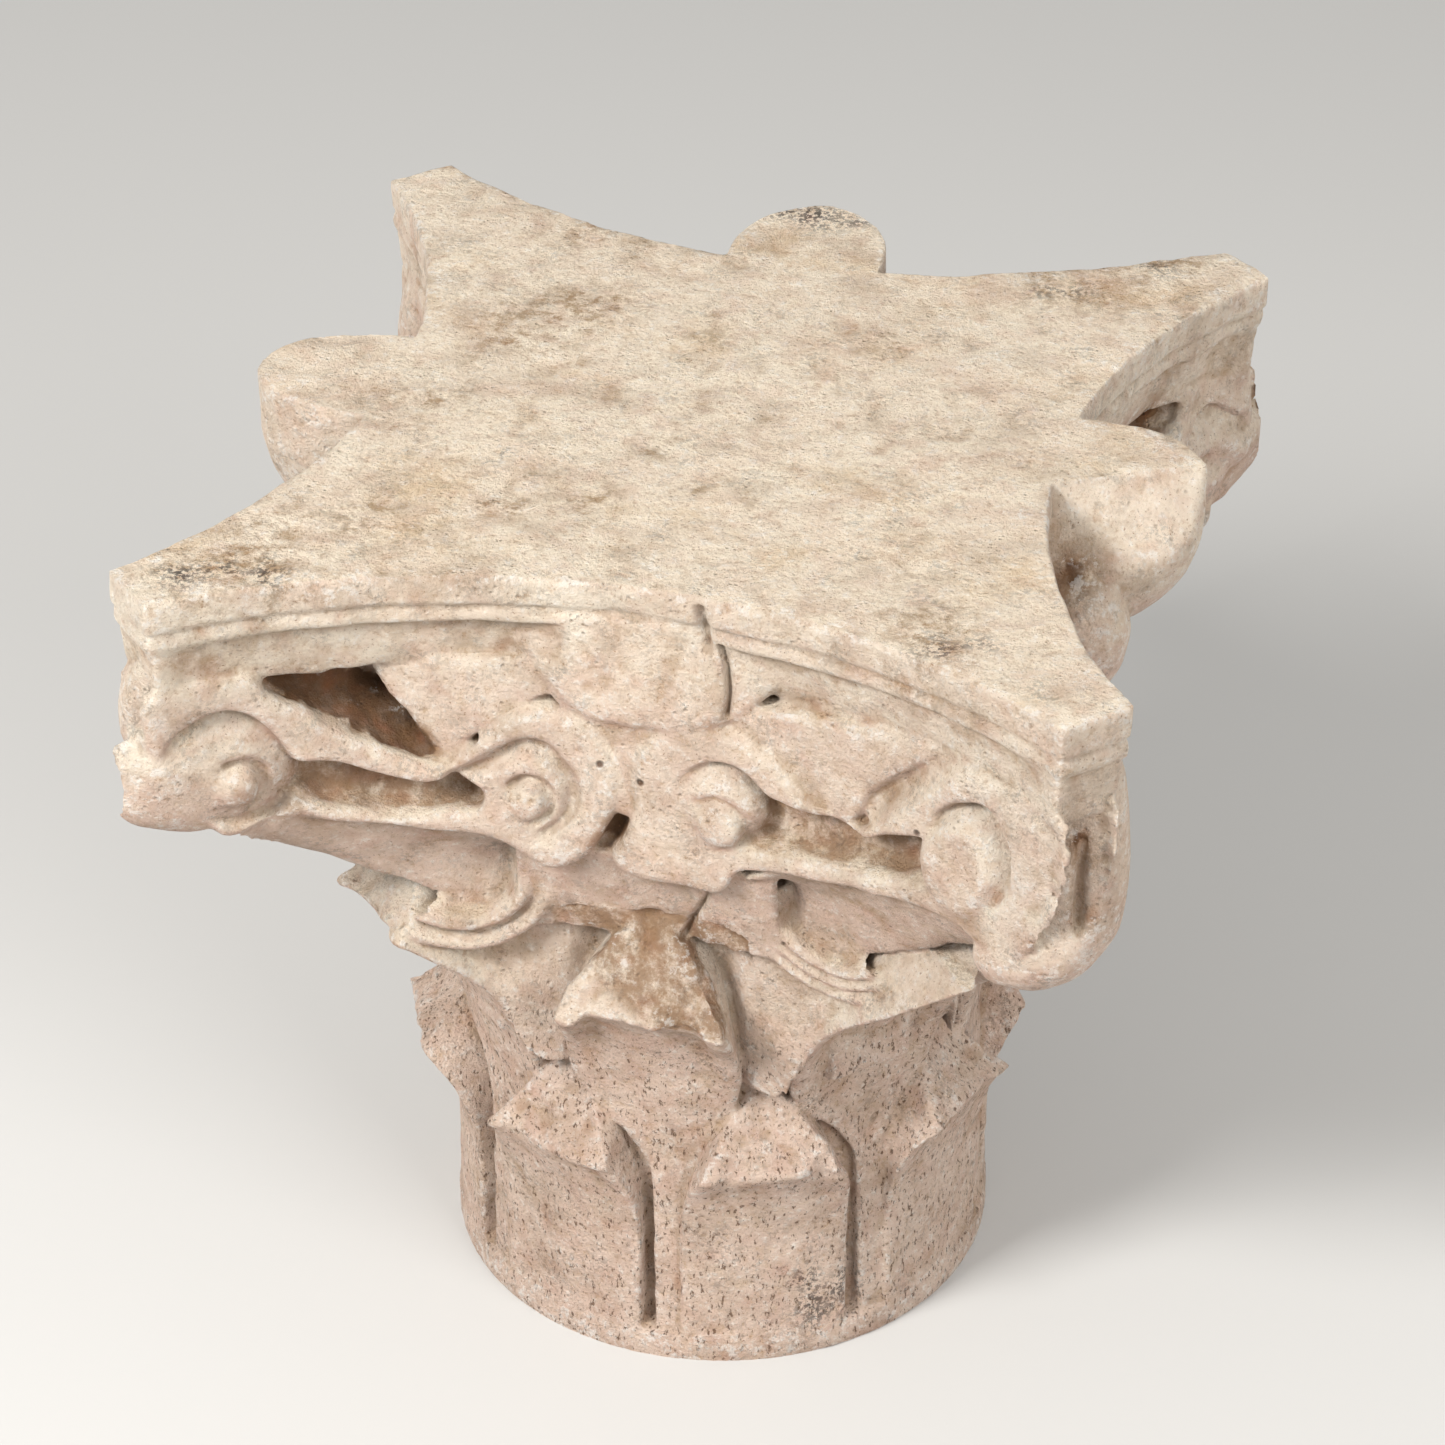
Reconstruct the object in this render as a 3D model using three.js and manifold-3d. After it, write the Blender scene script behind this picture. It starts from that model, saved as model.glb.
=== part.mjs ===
// Corinthian capital carved from one block of limestone.
// A round drum of plain water leaves in two tiers, stalks and calyx leaves between them,
// a band of corner volutes and inner helices, and a hollow-sided abacus with three bosses.
// Millimetres, +Z up, axis on x = y = 0, bed face on z = 0, front face towards -Y.

import * as THREE from 'three';
import { mergeVertices } from 'three/addons/utils/BufferGeometryUtils.js';
import Module from 'manifold-3d';

const wasm = await Module();
wasm.setup();

// Overall block
const HEIGHT = 530;
const DRUM_RADIUS = 158;
const FOOT_RING_HEIGHT = 17;
const FOOT_RING_BEVEL = 6;
const BELL_RADIUS = 145;
const BELL_FLARE_START = 345;
const BELL_FLARE_MIDDLE = 410;
const BELL_FLARE_RADIUS = 157;
const BELL_LIP_RADIUS = 176;
const BELL_LIP_HEIGHT = 12;
const BELL_SEGMENTS = 24;

// Abacus
const ABACUS_THICKNESS = 62;
const CORNER_REACH = 349;
const CORNER_HALF_WIDTH = 21;
const SIDE_HALF_DEPTH = 184;
const BAND_HEIGHT = 23;
const GROOVE_HEIGHT = 4;
const GROOVE_DEPTH = 8;
const BEAD_HEIGHT = 9;
const BEAD_SETBACK = 4;
const FASCIA_SETBACK = 10;
const SOFFIT_SETBACK = 22;
const CORNER_SETBACK_SHARE = 0.3;
const ARC_STEPS = 8;

// Lower tier of leaves, centred between the axes
const LOWER_HALF_WIDTH = 53.5;
const LOWER_THICKNESS = 22;
const LOWER_HOLLOW = 3;
const LOWER_ROWS = 5;
const LEAF_COLUMNS = 3;
const LEAF_FOOT = FOOT_RING_HEIGHT / 2;

// Side profile of a lower leaf as [stand-out from the drum, height], foot to tip
const LOWER_PROFILE = [[-2, LEAF_FOOT], [-3, 50], [-1, 95], [9, 127], [24, 149], [44, 172]];

// Narrowing of a lower leaf as [share of its length, loss of half width]
const LOWER_NARROWING = [[0, 0], [0.42, 0], [0.6, 6], [0.8, 19], [1, 38]];

// Break of each lower tip: reach and height where the fracture starts, and its steepness
const LOWER_BREAKS = [
  { reach: 175, height: 134, slope: 64 },
  { reach: 190, height: 168, slope: 40 },
  { reach: 182, height: 146, slope: 58 },
  { reach: 176, height: 138, slope: 64 },
  { reach: 188, height: 158, slope: 50 },
  { reach: 178, height: 140, slope: 60 },
  { reach: 190, height: 142, slope: 44 },
  { reach: 175, height: 134, slope: 62 },
];

// Upper tier of leaves, on the axes and the diagonals
const UPPER_STRIP_HALF_WIDTH = 9;
const UPPER_HALF_WIDTH = 57;
const UPPER_THICKNESS = 24;
const UPPER_HOLLOW = 5;
const UPPER_ROWS = 7;
const UPPER_STRIP_RADIUS = 150;

// Side profile of an upper leaf as [stand-out from its strip, height], foot to tip
const UPPER_PROFILE = [
  [0, LEAF_FOOT],
  [1, 118],
  [6, 182],
  [20, 222],
  [45, 256],
  [82, 288],
  [122, 322],
];

// Narrowing of an upper leaf above its strip as [share of its length, loss of half width]
const UPPER_NARROWING = [[0.34, 15], [0.5, 2], [0.62, 0], [0.72, 8], [0.86, 20], [1, 36]];

// Strip below the upper leaf as [share of its length, gain of half width]
const UPPER_STRIP_GAIN = [[0, 0], [0.18, 0], [0.25, 11]];

// Break of each upper tip
const UPPER_BREAKS = [
  { reach: 184, height: 258, slope: 62 },
  { reach: 272, height: 330, slope: 26 },
  { reach: 214, height: 276, slope: 52 },
  { reach: 250, height: 308, slope: 34 },
  { reach: 200, height: 268, slope: 56 },
  { reach: 262, height: 318, slope: 30 },
  { reach: 206, height: 272, slope: 50 },
  { reach: 236, height: 284, slope: 58 },
];

// Stalks with a ribbed collar, and the calyx leaves that spread from them
const COLLAR_SINK = 30;
const COLLAR_BAND = 11;
const COLLAR_RIB = 6;
const COLLAR_EDGE = 2;
const RIBBED_FACES = 2;
const CALYX_RIM_SINK = 7;
const CALYX_MIDDLE_RISE = 8;
const CALYX_COLUMNS = [5, 5, 3, 3];
const INNER_CALYX_RIDGE = 4;

// Curves across the stalk and calyx on the volute field, as [along the face, height]
const STALK_FOOT = [[50, 195], [53, 195], [56, 194], [60, 193], [64, 194], [67, 196]];
const STALK_HEAD = [[45, 262], [51, 256], [60, 250], [72, 247], [85, 250], [96, 258]];
const COLLAR_CURVE = [[46, 340], [50, 312], [62, 292], [84, 279], [108, 279], [130, 291]];
const COLLAR_SPREAD = [[1, 0], [0.9, 0.3], [0.7, 0.7], [0.2, 1], [-0.3, 1], [-0.7, 0.7]];
const CALYX_MIDDLE = [[68, 352], [78, 345], [93, 340], [115, 335], [142, 335], [172, 348]];
const CALYX_RIM = [[56, 355], [74, 364], [104, 374], [138, 378], [172, 381], [206, 376]];

// Inner calyx facet: foot left and right, then rim left and right
const INNER_CALYX = { foot: [[2, 296], [58, 292]], rim: [[2, 356], [62, 356]] };

// Volute band, laid on a field that follows the hollow side of the abacus
const FIELD_SETBACK = 4;
const VOLUTE_OFFSET = 186;
const VOLUTE_HEIGHT = 419;
const VOLUTE_EYE_RADIUS = 17;
const HELIX_OFFSET = 48;
const HELIX_HEIGHT = 395;
const HELIX_EYE_RADIUS = 14;
const SCROLL_THICKNESS = 46;
const SOLID_DEPTH = 95;
const CHANNEL_DEPTH = 11;
const SCROLL_ROUND = 2;
const SCROLL_STEPS = [22, 20, 14, 14];
const EYE_STEPS = 7;
const EYE_RISE = 2;
const EYE_DOME = 4;
const EYE_DRAFT = 1;
const EYE_CROWN_SHARE = 0.65;
const CORE_START = 120;
const CORE_WIDTH = 50;
const CORE_STEPS = [
  [160, 196, 262],
  [182, 250, 330],
  [204, 270, 420],
  [255, 400, HEIGHT - ABACUS_THICKNESS + 1],
];
const SLOT_WIDTH = 16;
const SLOT_TAPER = 0.5;
const SLOT_START = 300;
const SLOT_LENGTH = 70;
const SLOT_BOTTOM = 392;
const SLOT_TOP = 468;
const PINCH_OFFSET = 113;
const PINCH_HEIGHT = 395;
const SHEATH_SINK = 6;

// Middle line of the double scroll as [along the face, height, half width], from the pinch
// under the corner volute, round both scrolls and back
const SCROLL_LINE = [
  [PINCH_OFFSET, PINCH_HEIGHT - 18, 5],
  [140, 380, 6],
  [170, 385, 7],
  [197, 385, 11],
  [217, 397, 14],
  [226, 423, 14],
  [216, 448, 14],
  [194, 456, 13],
  [171, 445, 12],
  [150, 427, 9],
  [130, 412, 6],
  [PINCH_OFFSET, PINCH_HEIGHT + 13, 5],
  [90, 416, 6],
  [67, 428, 8],
  [43, 438, 10],
  [19, 431, 12],
  [8, 408, 12],
  [14, 380, 12],
  [32, 363, 10],
  [54, 362, 9],
  [80, 370, 6],
];

// Outlines of the sheath leaf, whole and cut short beside a hollowed spandrel
const SHEATH_FOOT = [[30, 440], [60, 431], [90, 416]];
const SHEATH_WHOLE = [...SHEATH_FOOT, [121, 406], [146, 424], [182, 462], [178, 474], [30, 474]];
const SHEATH_SHORT = [...SHEATH_FOOT, [112, 405], [103, 430], [112, 474], [30, 474]];

// Sides of each face whose spandrel is hollowed out to the bell
const HOLLOWED = [[-1], [1], [], [-1]];

// Bosses in the middle of the abacus sides
const BOSS_REACH = 261;
const BOSS_CENTRE = 196;
const BOSS_HALF_WIDTH = 45;
const BOSS_BOTTOM = 433;
const BOSS_BELLY = 500;
const BOSS_SIDES = 10;
const BOSS_ROWS = 8;
const BOSS_TOP_SPREAD = 1.35;
const BOSS_TOP_RISE = 1.6;

// Scar of the lost front boss, with its crack
const SCAR_REACH = 178;
const SCAR_OUTLINE = [
  [-46, 500],
  [-38, 468],
  [-12, 444],
  [22, 448],
  [40, 470],
  [46, 512],
  [6, 522],
  [-24, 516],
];
const CRACK_OFFSET = 39;
const CRACK_MIDDLE = 484;
const CRACK_WIDTH = 5;
const CRACK_DEPTH = 9;
const CRACK_SINK = 4;
const CRACK_HEIGHT = 46;
const CRACK_LEAN = 0.15;

// Derived from the sizes above
const HALF_TURN = Math.PI;
const QUARTER_TURN = HALF_TURN / 2;
const FACES = 4;
const LEAVES = 8;
const LEAF_PITCH = (2 * HALF_TURN) / LEAVES;
const FACE_PITCH = (2 * HALF_TURN) / FACES;
const DIAGONAL_LAP = 1;
const CORNER_HALF_SIDE = (CORNER_REACH + CORNER_HALF_WIDTH) / Math.SQRT2;
const ARC_HALF_CHORD = (CORNER_REACH - CORNER_HALF_WIDTH) / Math.SQRT2;
const ARC_RISE = CORNER_HALF_SIDE - SIDE_HALF_DEPTH;
const SIDE_ARC_RADIUS = (ARC_HALF_CHORD ** 2 + ARC_RISE ** 2) / (2 * ARC_RISE);
const SIDE_ARC_CENTRE = SIDE_HALF_DEPTH + SIDE_ARC_RADIUS;
const FIELD_RADIUS = SIDE_ARC_RADIUS + FIELD_SETBACK;
const SOFFIT = HEIGHT - ABACUS_THICKNESS;

// Small helpers for closed solids
const BIG = 1000;
const WELD = 1e-4;

function solid(geometry) {
  const bare = geometry.clone();
  bare.deleteAttribute('normal');
  bare.deleteAttribute('uv');
  const merged = mergeVertices(bare, WELD);
  const positions = merged.getAttribute('position').array;
  const triangles = Uint32Array.from(merged.index.array);
  let volume = 0;
  const corner = [new THREE.Vector3(), new THREE.Vector3(), new THREE.Vector3()];
  for (let i = 0; i < triangles.length; i += 3) {
    corner.forEach((v, k) => v.fromArray(positions, 3 * triangles[i + k]));
    volume += corner[0].dot(corner[1].clone().cross(corner[2]));
  }
  if (volume < 0) {
    for (let i = 0; i < triangles.length; i += 3) {
      [triangles[i + 1], triangles[i + 2]] = [triangles[i + 2], triangles[i + 1]];
    }
  }
  const mesh = new wasm.Mesh({
    numProp: 3,
    vertProperties: Float32Array.from(positions),
    triVerts: triangles,
  });
  return new wasm.Manifold(mesh);
}

function warp(geometry, place) {
  const position = geometry.getAttribute('position');
  for (let i = 0; i < position.count; i += 1) {
    const p = place(position.getX(i), position.getY(i), position.getZ(i));
    position.setXYZ(i, p.x, p.y, p.z);
  }
  return geometry;
}

// Closed skin through a stack of rings of [x, y, z] points, capped at both ends.
// Islands are further stacks that rise from the last cap.
function skinRings(rings, place, islands = []) {
  const positions = [];
  const index = [];
  const starts = new Map();
  [rings, ...islands].forEach((stack) => stack.forEach((ring) => {
    starts.set(ring, positions.length / 3);
    ring.forEach(([x, y, z]) => positions.push(...place(x, y, z).toArray()));
  }));
  [rings, ...islands].forEach((stack) => {
    for (let level = 0; level + 1 < stack.length; level += 1) {
      const [low, high] = [starts.get(stack[level]), starts.get(stack[level + 1])];
      const count = stack[level].length;
      for (let i = 0; i < count; i += 1) {
        const j = (i + 1) % count;
        index.push(low + i, low + j, high + j);
        index.push(low + i, high + j, high + i);
      }
    }
  });
  const cap = (outlines, upward) => {
    const flat = outlines.map((ring) => ring.map(([x, y]) => new THREE.Vector2(x, y)));
    const points = flat.flat();
    const where = outlines.flatMap((ring) => ring.map((_, i) => starts.get(ring) + i));
    THREE.ShapeUtils.triangulateShape(flat[0], flat.slice(1)).forEach(([a, b, c]) => {
      const left = points[b].clone().sub(points[a]).cross(points[c].clone().sub(points[a])) > 0;
      const corners = left === upward ? [a, b, c] : [a, c, b];
      index.push(...corners.map((corner) => where[corner]));
    });
  };
  cap([rings[0]], false);
  cap([rings[rings.length - 1], ...islands.map((stack) => stack[0])], true);
  islands.forEach((stack) => cap([stack[stack.length - 1]], true));
  const skin = new THREE.BufferGeometry();
  skin.setAttribute('position', new THREE.Float32BufferAttribute(positions, 3));
  skin.setIndex(index);
  return solid(skin);
}

function join(parts) {
  let pending = parts;
  while (pending.length > 1) {
    const next = [];
    for (let i = 0; i < pending.length; i += 2) {
      next.push(i + 1 < pending.length ? pending[i].add(pending[i + 1]) : pending[i]);
    }
    pending = next;
  }
  return pending[0];
}

// Angle 0 looks along -Y and grows towards +X
function polar(angle, radius, z) {
  return new THREE.Vector3(radius * Math.sin(angle), -radius * Math.cos(angle), z);
}

// Point on the volute field of one face: s along the face, z up, out towards the viewer.
// Points that would pass the diagonal plane of the block are held just past it.
function onField(face, s, z, out) {
  const lean = Math.asin(THREE.MathUtils.clamp(s / FIELD_RADIUS, -1, 1));
  let x = (FIELD_RADIUS - out) * Math.sin(lean);
  let y = (FIELD_RADIUS - out) * Math.cos(lean) - SIDE_ARC_CENTRE;
  const past = (Math.abs(x) + y) / 2 - DIAGONAL_LAP;
  if (past > 0) {
    x -= Math.sign(x) * past;
    y -= past;
  }
  const flat = new THREE.Vector2(x, y).rotateAround(new THREE.Vector2(), face * FACE_PITCH);
  return new THREE.Vector3(flat.x, flat.y, z);
}

// Value along a list of [place, value] pairs, straight between them
function along(pairs, at) {
  let i = 0;
  while (i < pairs.length - 2 && at > pairs[i + 1][0]) {
    i += 1;
  }
  const [a, b] = [pairs[i], pairs[i + 1]];
  const t = THREE.MathUtils.clamp((at - a[0]) / (b[0] - a[0]), 0, 1);
  return a[1] + (b[1] - a[1]) * t;
}

// Rounded leaf: a slab bent along a side profile and narrowed to a blunt tip
function leaf({ angle, radius, profile, widths, thickness, rows, hollow }) {
  const stations = profile.map(([out, z]) => new THREE.Vector3(radius + out, 0, z));
  const spine = new THREE.CatmullRomCurve3(stations);
  const slab = new THREE.BoxGeometry(2, 1, 1, LEAF_COLUMNS, rows, 1);
  return warp(slab, (x, y, z) => {
    const v = y + 0.5;
    const point = spine.getPoint(v);
    const tangent = spine.getTangent(v);
    const dish = hollow * v * (1 - x * x);
    const back = z > 0 ? dish : thickness;
    const reach = point.x - tangent.z * back;
    const height = point.z + tangent.x * back;
    const half = along(widths, v);
    return polar(angle + (x * half) / point.x, reach, height);
  });
}

// Broken tip: everything above a steep plane through the break line is taken off
function breakOff(body, angle, tip) {
  const slope = THREE.MathUtils.degToRad(tip.slope);
  const chunk = new THREE.BoxGeometry(BIG, BIG, BIG, 1, 1, 1);
  const outward = new THREE.Vector3(Math.sin(slope), 0, Math.cos(slope));
  const upslope = new THREE.Vector3(-Math.cos(slope), 0, Math.sin(slope));
  const cut = warp(chunk, (side, y, z) => {
    const depth = z + BIG / 2;
    const r = tip.reach + outward.x * depth + upslope.x * y;
    const h = tip.height + outward.z * depth + upslope.z * y;
    return polar(angle, r, h).add(polar(angle + QUARTER_TURN, side, 0));
  });
  return body.subtract(solid(cut));
}

// Bell with its foot ring and lip
function bell() {
  const profile = [
    [0, 0],
    [DRUM_RADIUS, 0],
    [DRUM_RADIUS, FOOT_RING_HEIGHT],
    [BELL_RADIUS, FOOT_RING_HEIGHT + FOOT_RING_BEVEL],
    [BELL_RADIUS, BELL_FLARE_START],
    [BELL_FLARE_RADIUS, BELL_FLARE_MIDDLE],
    [BELL_LIP_RADIUS, SOFFIT - BELL_LIP_HEIGHT],
    [BELL_LIP_RADIUS, SOFFIT + BELL_LIP_HEIGHT],
    [0, SOFFIT + BELL_LIP_HEIGHT],
  ];
  const outline = profile.map(([r, z]) => new THREE.Vector2(r, z));
  const lathe = new THREE.LatheGeometry(outline, BELL_SEGMENTS);
  return solid(lathe.rotateX(QUARTER_TURN));
}

// Outline of the abacus: four hollow arcs between cut corners, set in more at mid side
function abacusOutline(inset) {
  const reach = CORNER_REACH - inset * CORNER_SETBACK_SHARE;
  const half = CORNER_HALF_WIDTH - (inset * CORNER_SETBACK_SHARE) / 2;
  const halfSide = (reach + half) / Math.SQRT2;
  const halfChord = (reach - half) / Math.SQRT2;
  const rise = halfSide - (SIDE_HALF_DEPTH - inset);
  const radius = (halfChord ** 2 + rise ** 2) / (2 * rise);
  const centre = SIDE_HALF_DEPTH - inset + radius;
  const span = Math.asin(halfChord / radius);
  const points = [];
  for (let face = 0; face < FACES; face += 1) {
    const turn = face * FACE_PITCH;
    for (let i = 0; i <= ARC_STEPS; i += 1) {
      const a = span * ((2 * i) / ARC_STEPS - 1);
      const x = radius * Math.sin(a);
      const y = radius * Math.cos(a) - centre;
      points.push(new THREE.Vector2(x, y).rotateAround(new THREE.Vector2(), turn));
    }
  }
  return points;
}

// Abacus: one skin through a stack of outlines, capped above and below
function abacus() {
  const beadTop = HEIGHT - BAND_HEIGHT - GROOVE_HEIGHT;
  const beadFoot = beadTop - BEAD_HEIGHT;
  const levels = [
    [SOFFIT, SOFFIT_SETBACK],
    [beadFoot, FASCIA_SETBACK],
    [beadFoot, BEAD_SETBACK],
    [beadTop, BEAD_SETBACK],
    [beadTop + GROOVE_HEIGHT / 2, GROOVE_DEPTH],
    [HEIGHT - BAND_HEIGHT, 0],
    [HEIGHT, 0],
  ];
  const rings = levels.map(([z, inset]) => abacusOutline(inset).map((p) => [p.x, p.y, z]));
  return skinRings(rings, (x, y, z) => new THREE.Vector3(x, y, z));
}

// Lower leaves, each tip lost at its own height
function lowerLeaf(number) {
  const angle = (number + 0.5) * LEAF_PITCH;
  const body = solid(leaf({
    angle,
    radius: DRUM_RADIUS,
    profile: LOWER_PROFILE,
    widths: LOWER_NARROWING.map(([share, loss]) => [share, LOWER_HALF_WIDTH - loss]),
    thickness: LOWER_THICKNESS,
    rows: LOWER_ROWS,
    hollow: LOWER_HOLLOW,
  }));
  return breakOff(body, angle, LOWER_BREAKS[number]);
}

// Upper leaves on their strips, those under the volutes reaching further out
function upperLeaf(number) {
  const angle = number * LEAF_PITCH;
  const body = solid(leaf({
    angle,
    radius: UPPER_STRIP_RADIUS,
    profile: UPPER_PROFILE,
    widths: [
      ...UPPER_STRIP_GAIN.map(([share, gain]) => [share, UPPER_STRIP_HALF_WIDTH + gain]),
      ...UPPER_NARROWING.map(([share, loss]) => [share, UPPER_HALF_WIDTH - loss]),
    ],
    thickness: UPPER_THICKNESS,
    rows: UPPER_ROWS,
    hollow: UPPER_HOLLOW,
  }));
  return breakOff(body, angle, UPPER_BREAKS[number]);
}

// Flat facet laid on the volute field inside an outline of [s, z] corners
function fieldFacet(face, side, outline, back, front) {
  const shape = new THREE.Shape(outline.map(([s, z]) => new THREE.Vector2(s, z)));
  const block = new THREE.ExtrudeGeometry(shape, { depth: 1, bevelEnabled: false });
  return solid(warp(block, (x, y, z) => onField(face, side * x, y, z > 0.5 ? front : back)));
}

// Corner volute and inner helix in one double scroll: a raised rim around a sunk channel
function doubleScroll(face, side, hollowed) {
  const stations = SCROLL_LINE.map(([s, z]) => new THREE.Vector3(s, z, 0));
  const centre = new THREE.CatmullRomCurve3(stations, true);
  const halves = [...SCROLL_LINE, SCROLL_LINE[0]].map(([, , half], i) => (
    [i / SCROLL_LINE.length, half]
  ));
  const outer = [];
  const inner = [];
  const steps = SCROLL_STEPS[face];
  for (let i = 0; i < steps; i += 1) {
    const v = i / steps;
    const point = centre.getPoint(v);
    const tangent = centre.getTangent(v);
    const half = along(halves, v);
    outer.push([point.x + tangent.y * half, point.y - tangent.x * half]);
    inner.push([point.x - tangent.y * half, point.y + tangent.x * half]);
  }
  const rings = [
    outer.map(([s, z]) => [s, z, hollowed ? -SCROLL_THICKNESS : -SOLID_DEPTH]),
    outer.map(([s, z]) => [s, z, -SCROLL_ROUND]),
    inner.map(([s, z]) => [s, z, 0]),
    inner.map(([s, z]) => [s, z, -CHANNEL_DEPTH]),
  ];
  const eyes = [
    eyeRings(VOLUTE_OFFSET, VOLUTE_HEIGHT, VOLUTE_EYE_RADIUS),
    eyeRings(HELIX_OFFSET, HELIX_HEIGHT, HELIX_EYE_RADIUS),
  ];
  return skinRings(rings, (s, z, out) => onField(face, side * s, z, out), eyes);
}

// Rings of a round eye from the channel floor up, domed towards the viewer
function eyeRings(s, z, radius) {
  const circle = (r, out) => Array.from({ length: EYE_STEPS }, (_, i) => {
    const a = (2 * HALF_TURN * i) / EYE_STEPS;
    return [s + r * Math.cos(a), z + r * Math.sin(a), out];
  });
  return [
    circle(radius, -CHANNEL_DEPTH),
    circle(radius - EYE_DRAFT, EYE_RISE - EYE_DOME),
    circle(radius * EYE_CROWN_SHARE, EYE_RISE),
  ];
}

// Uncut stone on the diagonals behind the leaves; high where neither side is hollowed
function cornerCore(number) {
  const angle = (number + 0.5) * FACE_PITCH;
  const solidCorner = !HOLLOWED[number].includes(1) && !HOLLOWED[(number + 1) % FACES].includes(-1);
  const steps = solidCorner ? CORE_STEPS : CORE_STEPS.slice(0, 2);
  return steps.map(([reach, bottom, top]) => {
    const block = new THREE.BoxGeometry(reach - CORE_START, CORE_WIDTH, top - bottom);
    return solid(warp(block, (x, y, z) => (
      polar(angle, x + (reach + CORE_START) / 2, z + (top + bottom) / 2)
        .add(polar(angle + QUARTER_TURN, y, 0))
    )));
  });
}

// Slot that parts the two volutes of a corner
function cornerSlot(number) {
  const angle = (number + 0.5) * FACE_PITCH;
  const wedge = new THREE.BoxGeometry(SLOT_WIDTH, SLOT_LENGTH, SLOT_TOP - SLOT_BOTTOM);
  return solid(warp(wedge, (x, y, z) => {
    const reach = SLOT_START + SLOT_LENGTH / 2 + y;
    const side = y < 0 ? x * SLOT_TAPER : x;
    return polar(angle, reach, z + (SLOT_TOP + SLOT_BOTTOM) / 2)
      .add(polar(angle + QUARTER_TURN, side, 0));
  }));
}

// Sheath leaf in the spandrel over the pinch; the hollowed ones stop short of the corner
function sheath(face, side, hollowed) {
  const outline = hollowed ? SHEATH_SHORT : SHEATH_WHOLE;
  return fieldFacet(face, side, outline, -SOLID_DEPTH, -SHEATH_SINK);
}

// Stalk, ribbed collar and outer calyx leaf in one skin, fanning from the foot of the stalk
// to the underside of the scroll. Each row is a curve of [s, z] points and its depth.
function stalkAndCalyx(face, side, ribbed) {
  const rib = (spread, depth) => [COLLAR_CURVE.map(([s, z], i) => (
    [s + COLLAR_SPREAD[i][0] * spread, z + COLLAR_SPREAD[i][1] * spread]
  )), depth];
  const rows = [
    [STALK_FOOT, COLLAR_SINK + COLLAR_RIB],
    [STALK_HEAD, COLLAR_SINK + COLLAR_EDGE],
    rib(0, COLLAR_SINK),
    rib(2 * COLLAR_EDGE, COLLAR_SINK - COLLAR_RIB),
    ...(ribbed ? [
      rib(COLLAR_BAND - COLLAR_EDGE, COLLAR_SINK - COLLAR_EDGE / 2),
      rib(COLLAR_BAND + COLLAR_EDGE, COLLAR_SINK - COLLAR_RIB),
    ] : []),
    rib(2 * COLLAR_BAND - COLLAR_EDGE, COLLAR_SINK + COLLAR_EDGE),
    [CALYX_MIDDLE, COLLAR_SINK - CALYX_MIDDLE_RISE],
    [CALYX_RIM, CALYX_RIM_SINK],
  ];
  const curves = rows.map(([row]) => (
    new THREE.CatmullRomCurve3(row.map(([s, z]) => new THREE.Vector3(s, z, 0)))
  ));
  const slab = new THREE.BoxGeometry(1, rows.length - 1, 1, CALYX_COLUMNS[face], rows.length - 1, 1);
  return solid(warp(slab, (x, y, z) => {
    const row = Math.round(y + (rows.length - 1) / 2);
    const point = curves[row].getPoint(x + 0.5);
    return onField(face, side * point.x, point.y, z > 0 ? -rows[row][1] : -SOLID_DEPTH);
  }));
}

// Inner calyx leaf: a plain facet that leans out to the underside of the helix
function innerCalyx(face, side) {
  const block = new THREE.BoxGeometry(1, 1, 1, 2, 1, 1);
  return solid(warp(block, (x, y, z) => {
    const [left, right] = y > 0 ? INNER_CALYX.rim : INNER_CALYX.foot;
    const spot = new THREE.Vector2(...left).lerp(new THREE.Vector2(...right), x + 0.5);
    const sink = y > 0 ? CALYX_RIM_SINK : COLLAR_SINK - COLLAR_RIB;
    const front = -sink - INNER_CALYX_RIDGE * 4 * x * x;
    return onField(face, side * spot.x, spot.y, z > 0 ? front : -SOLID_DEPTH);
  }));
}

// Boss in the middle of an abacus side: flat on top, swelling, rounded under
function boss(face) {
  const turn = face * FACE_PITCH;
  const ball = new THREE.SphereGeometry(1, BOSS_SIDES, BOSS_ROWS);
  return solid(warp(ball.rotateX(QUARTER_TURN), (x, y, z) => {
    const above = z > 0;
    const drop = above ? HEIGHT - BOSS_BELLY : BOSS_BELLY - BOSS_BOTTOM;
    const spread = Math.max(Math.hypot(x, y), WELD);
    const wide = above ? Math.min(1, spread * BOSS_TOP_SPREAD) / spread : 1;
    const across = x * wide * BOSS_HALF_WIDTH;
    const reach = BOSS_CENTRE - y * wide * (BOSS_REACH - BOSS_CENTRE);
    const height = BOSS_BELLY + (above ? Math.min(1, z * BOSS_TOP_RISE) : z) * drop;
    return polar(turn, reach, height).add(polar(turn + QUARTER_TURN, across, 0));
  }));
}

// Low rough scar where the front boss broke away, split by a crack
function scar() {
  const front = SCAR_REACH - SIDE_HALF_DEPTH + FIELD_SETBACK;
  return fieldFacet(0, 1, SCAR_OUTLINE, -SCROLL_THICKNESS, front);
}

function crack() {
  const slot = new THREE.BoxGeometry(CRACK_WIDTH, 2 * CRACK_DEPTH, CRACK_HEIGHT);
  return solid(warp(slot, (x, y, z) => (
    onField(0, CRACK_OFFSET + x + z * CRACK_LEAN, CRACK_MIDDLE + z, y - CRACK_SINK)
  )));
}

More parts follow.
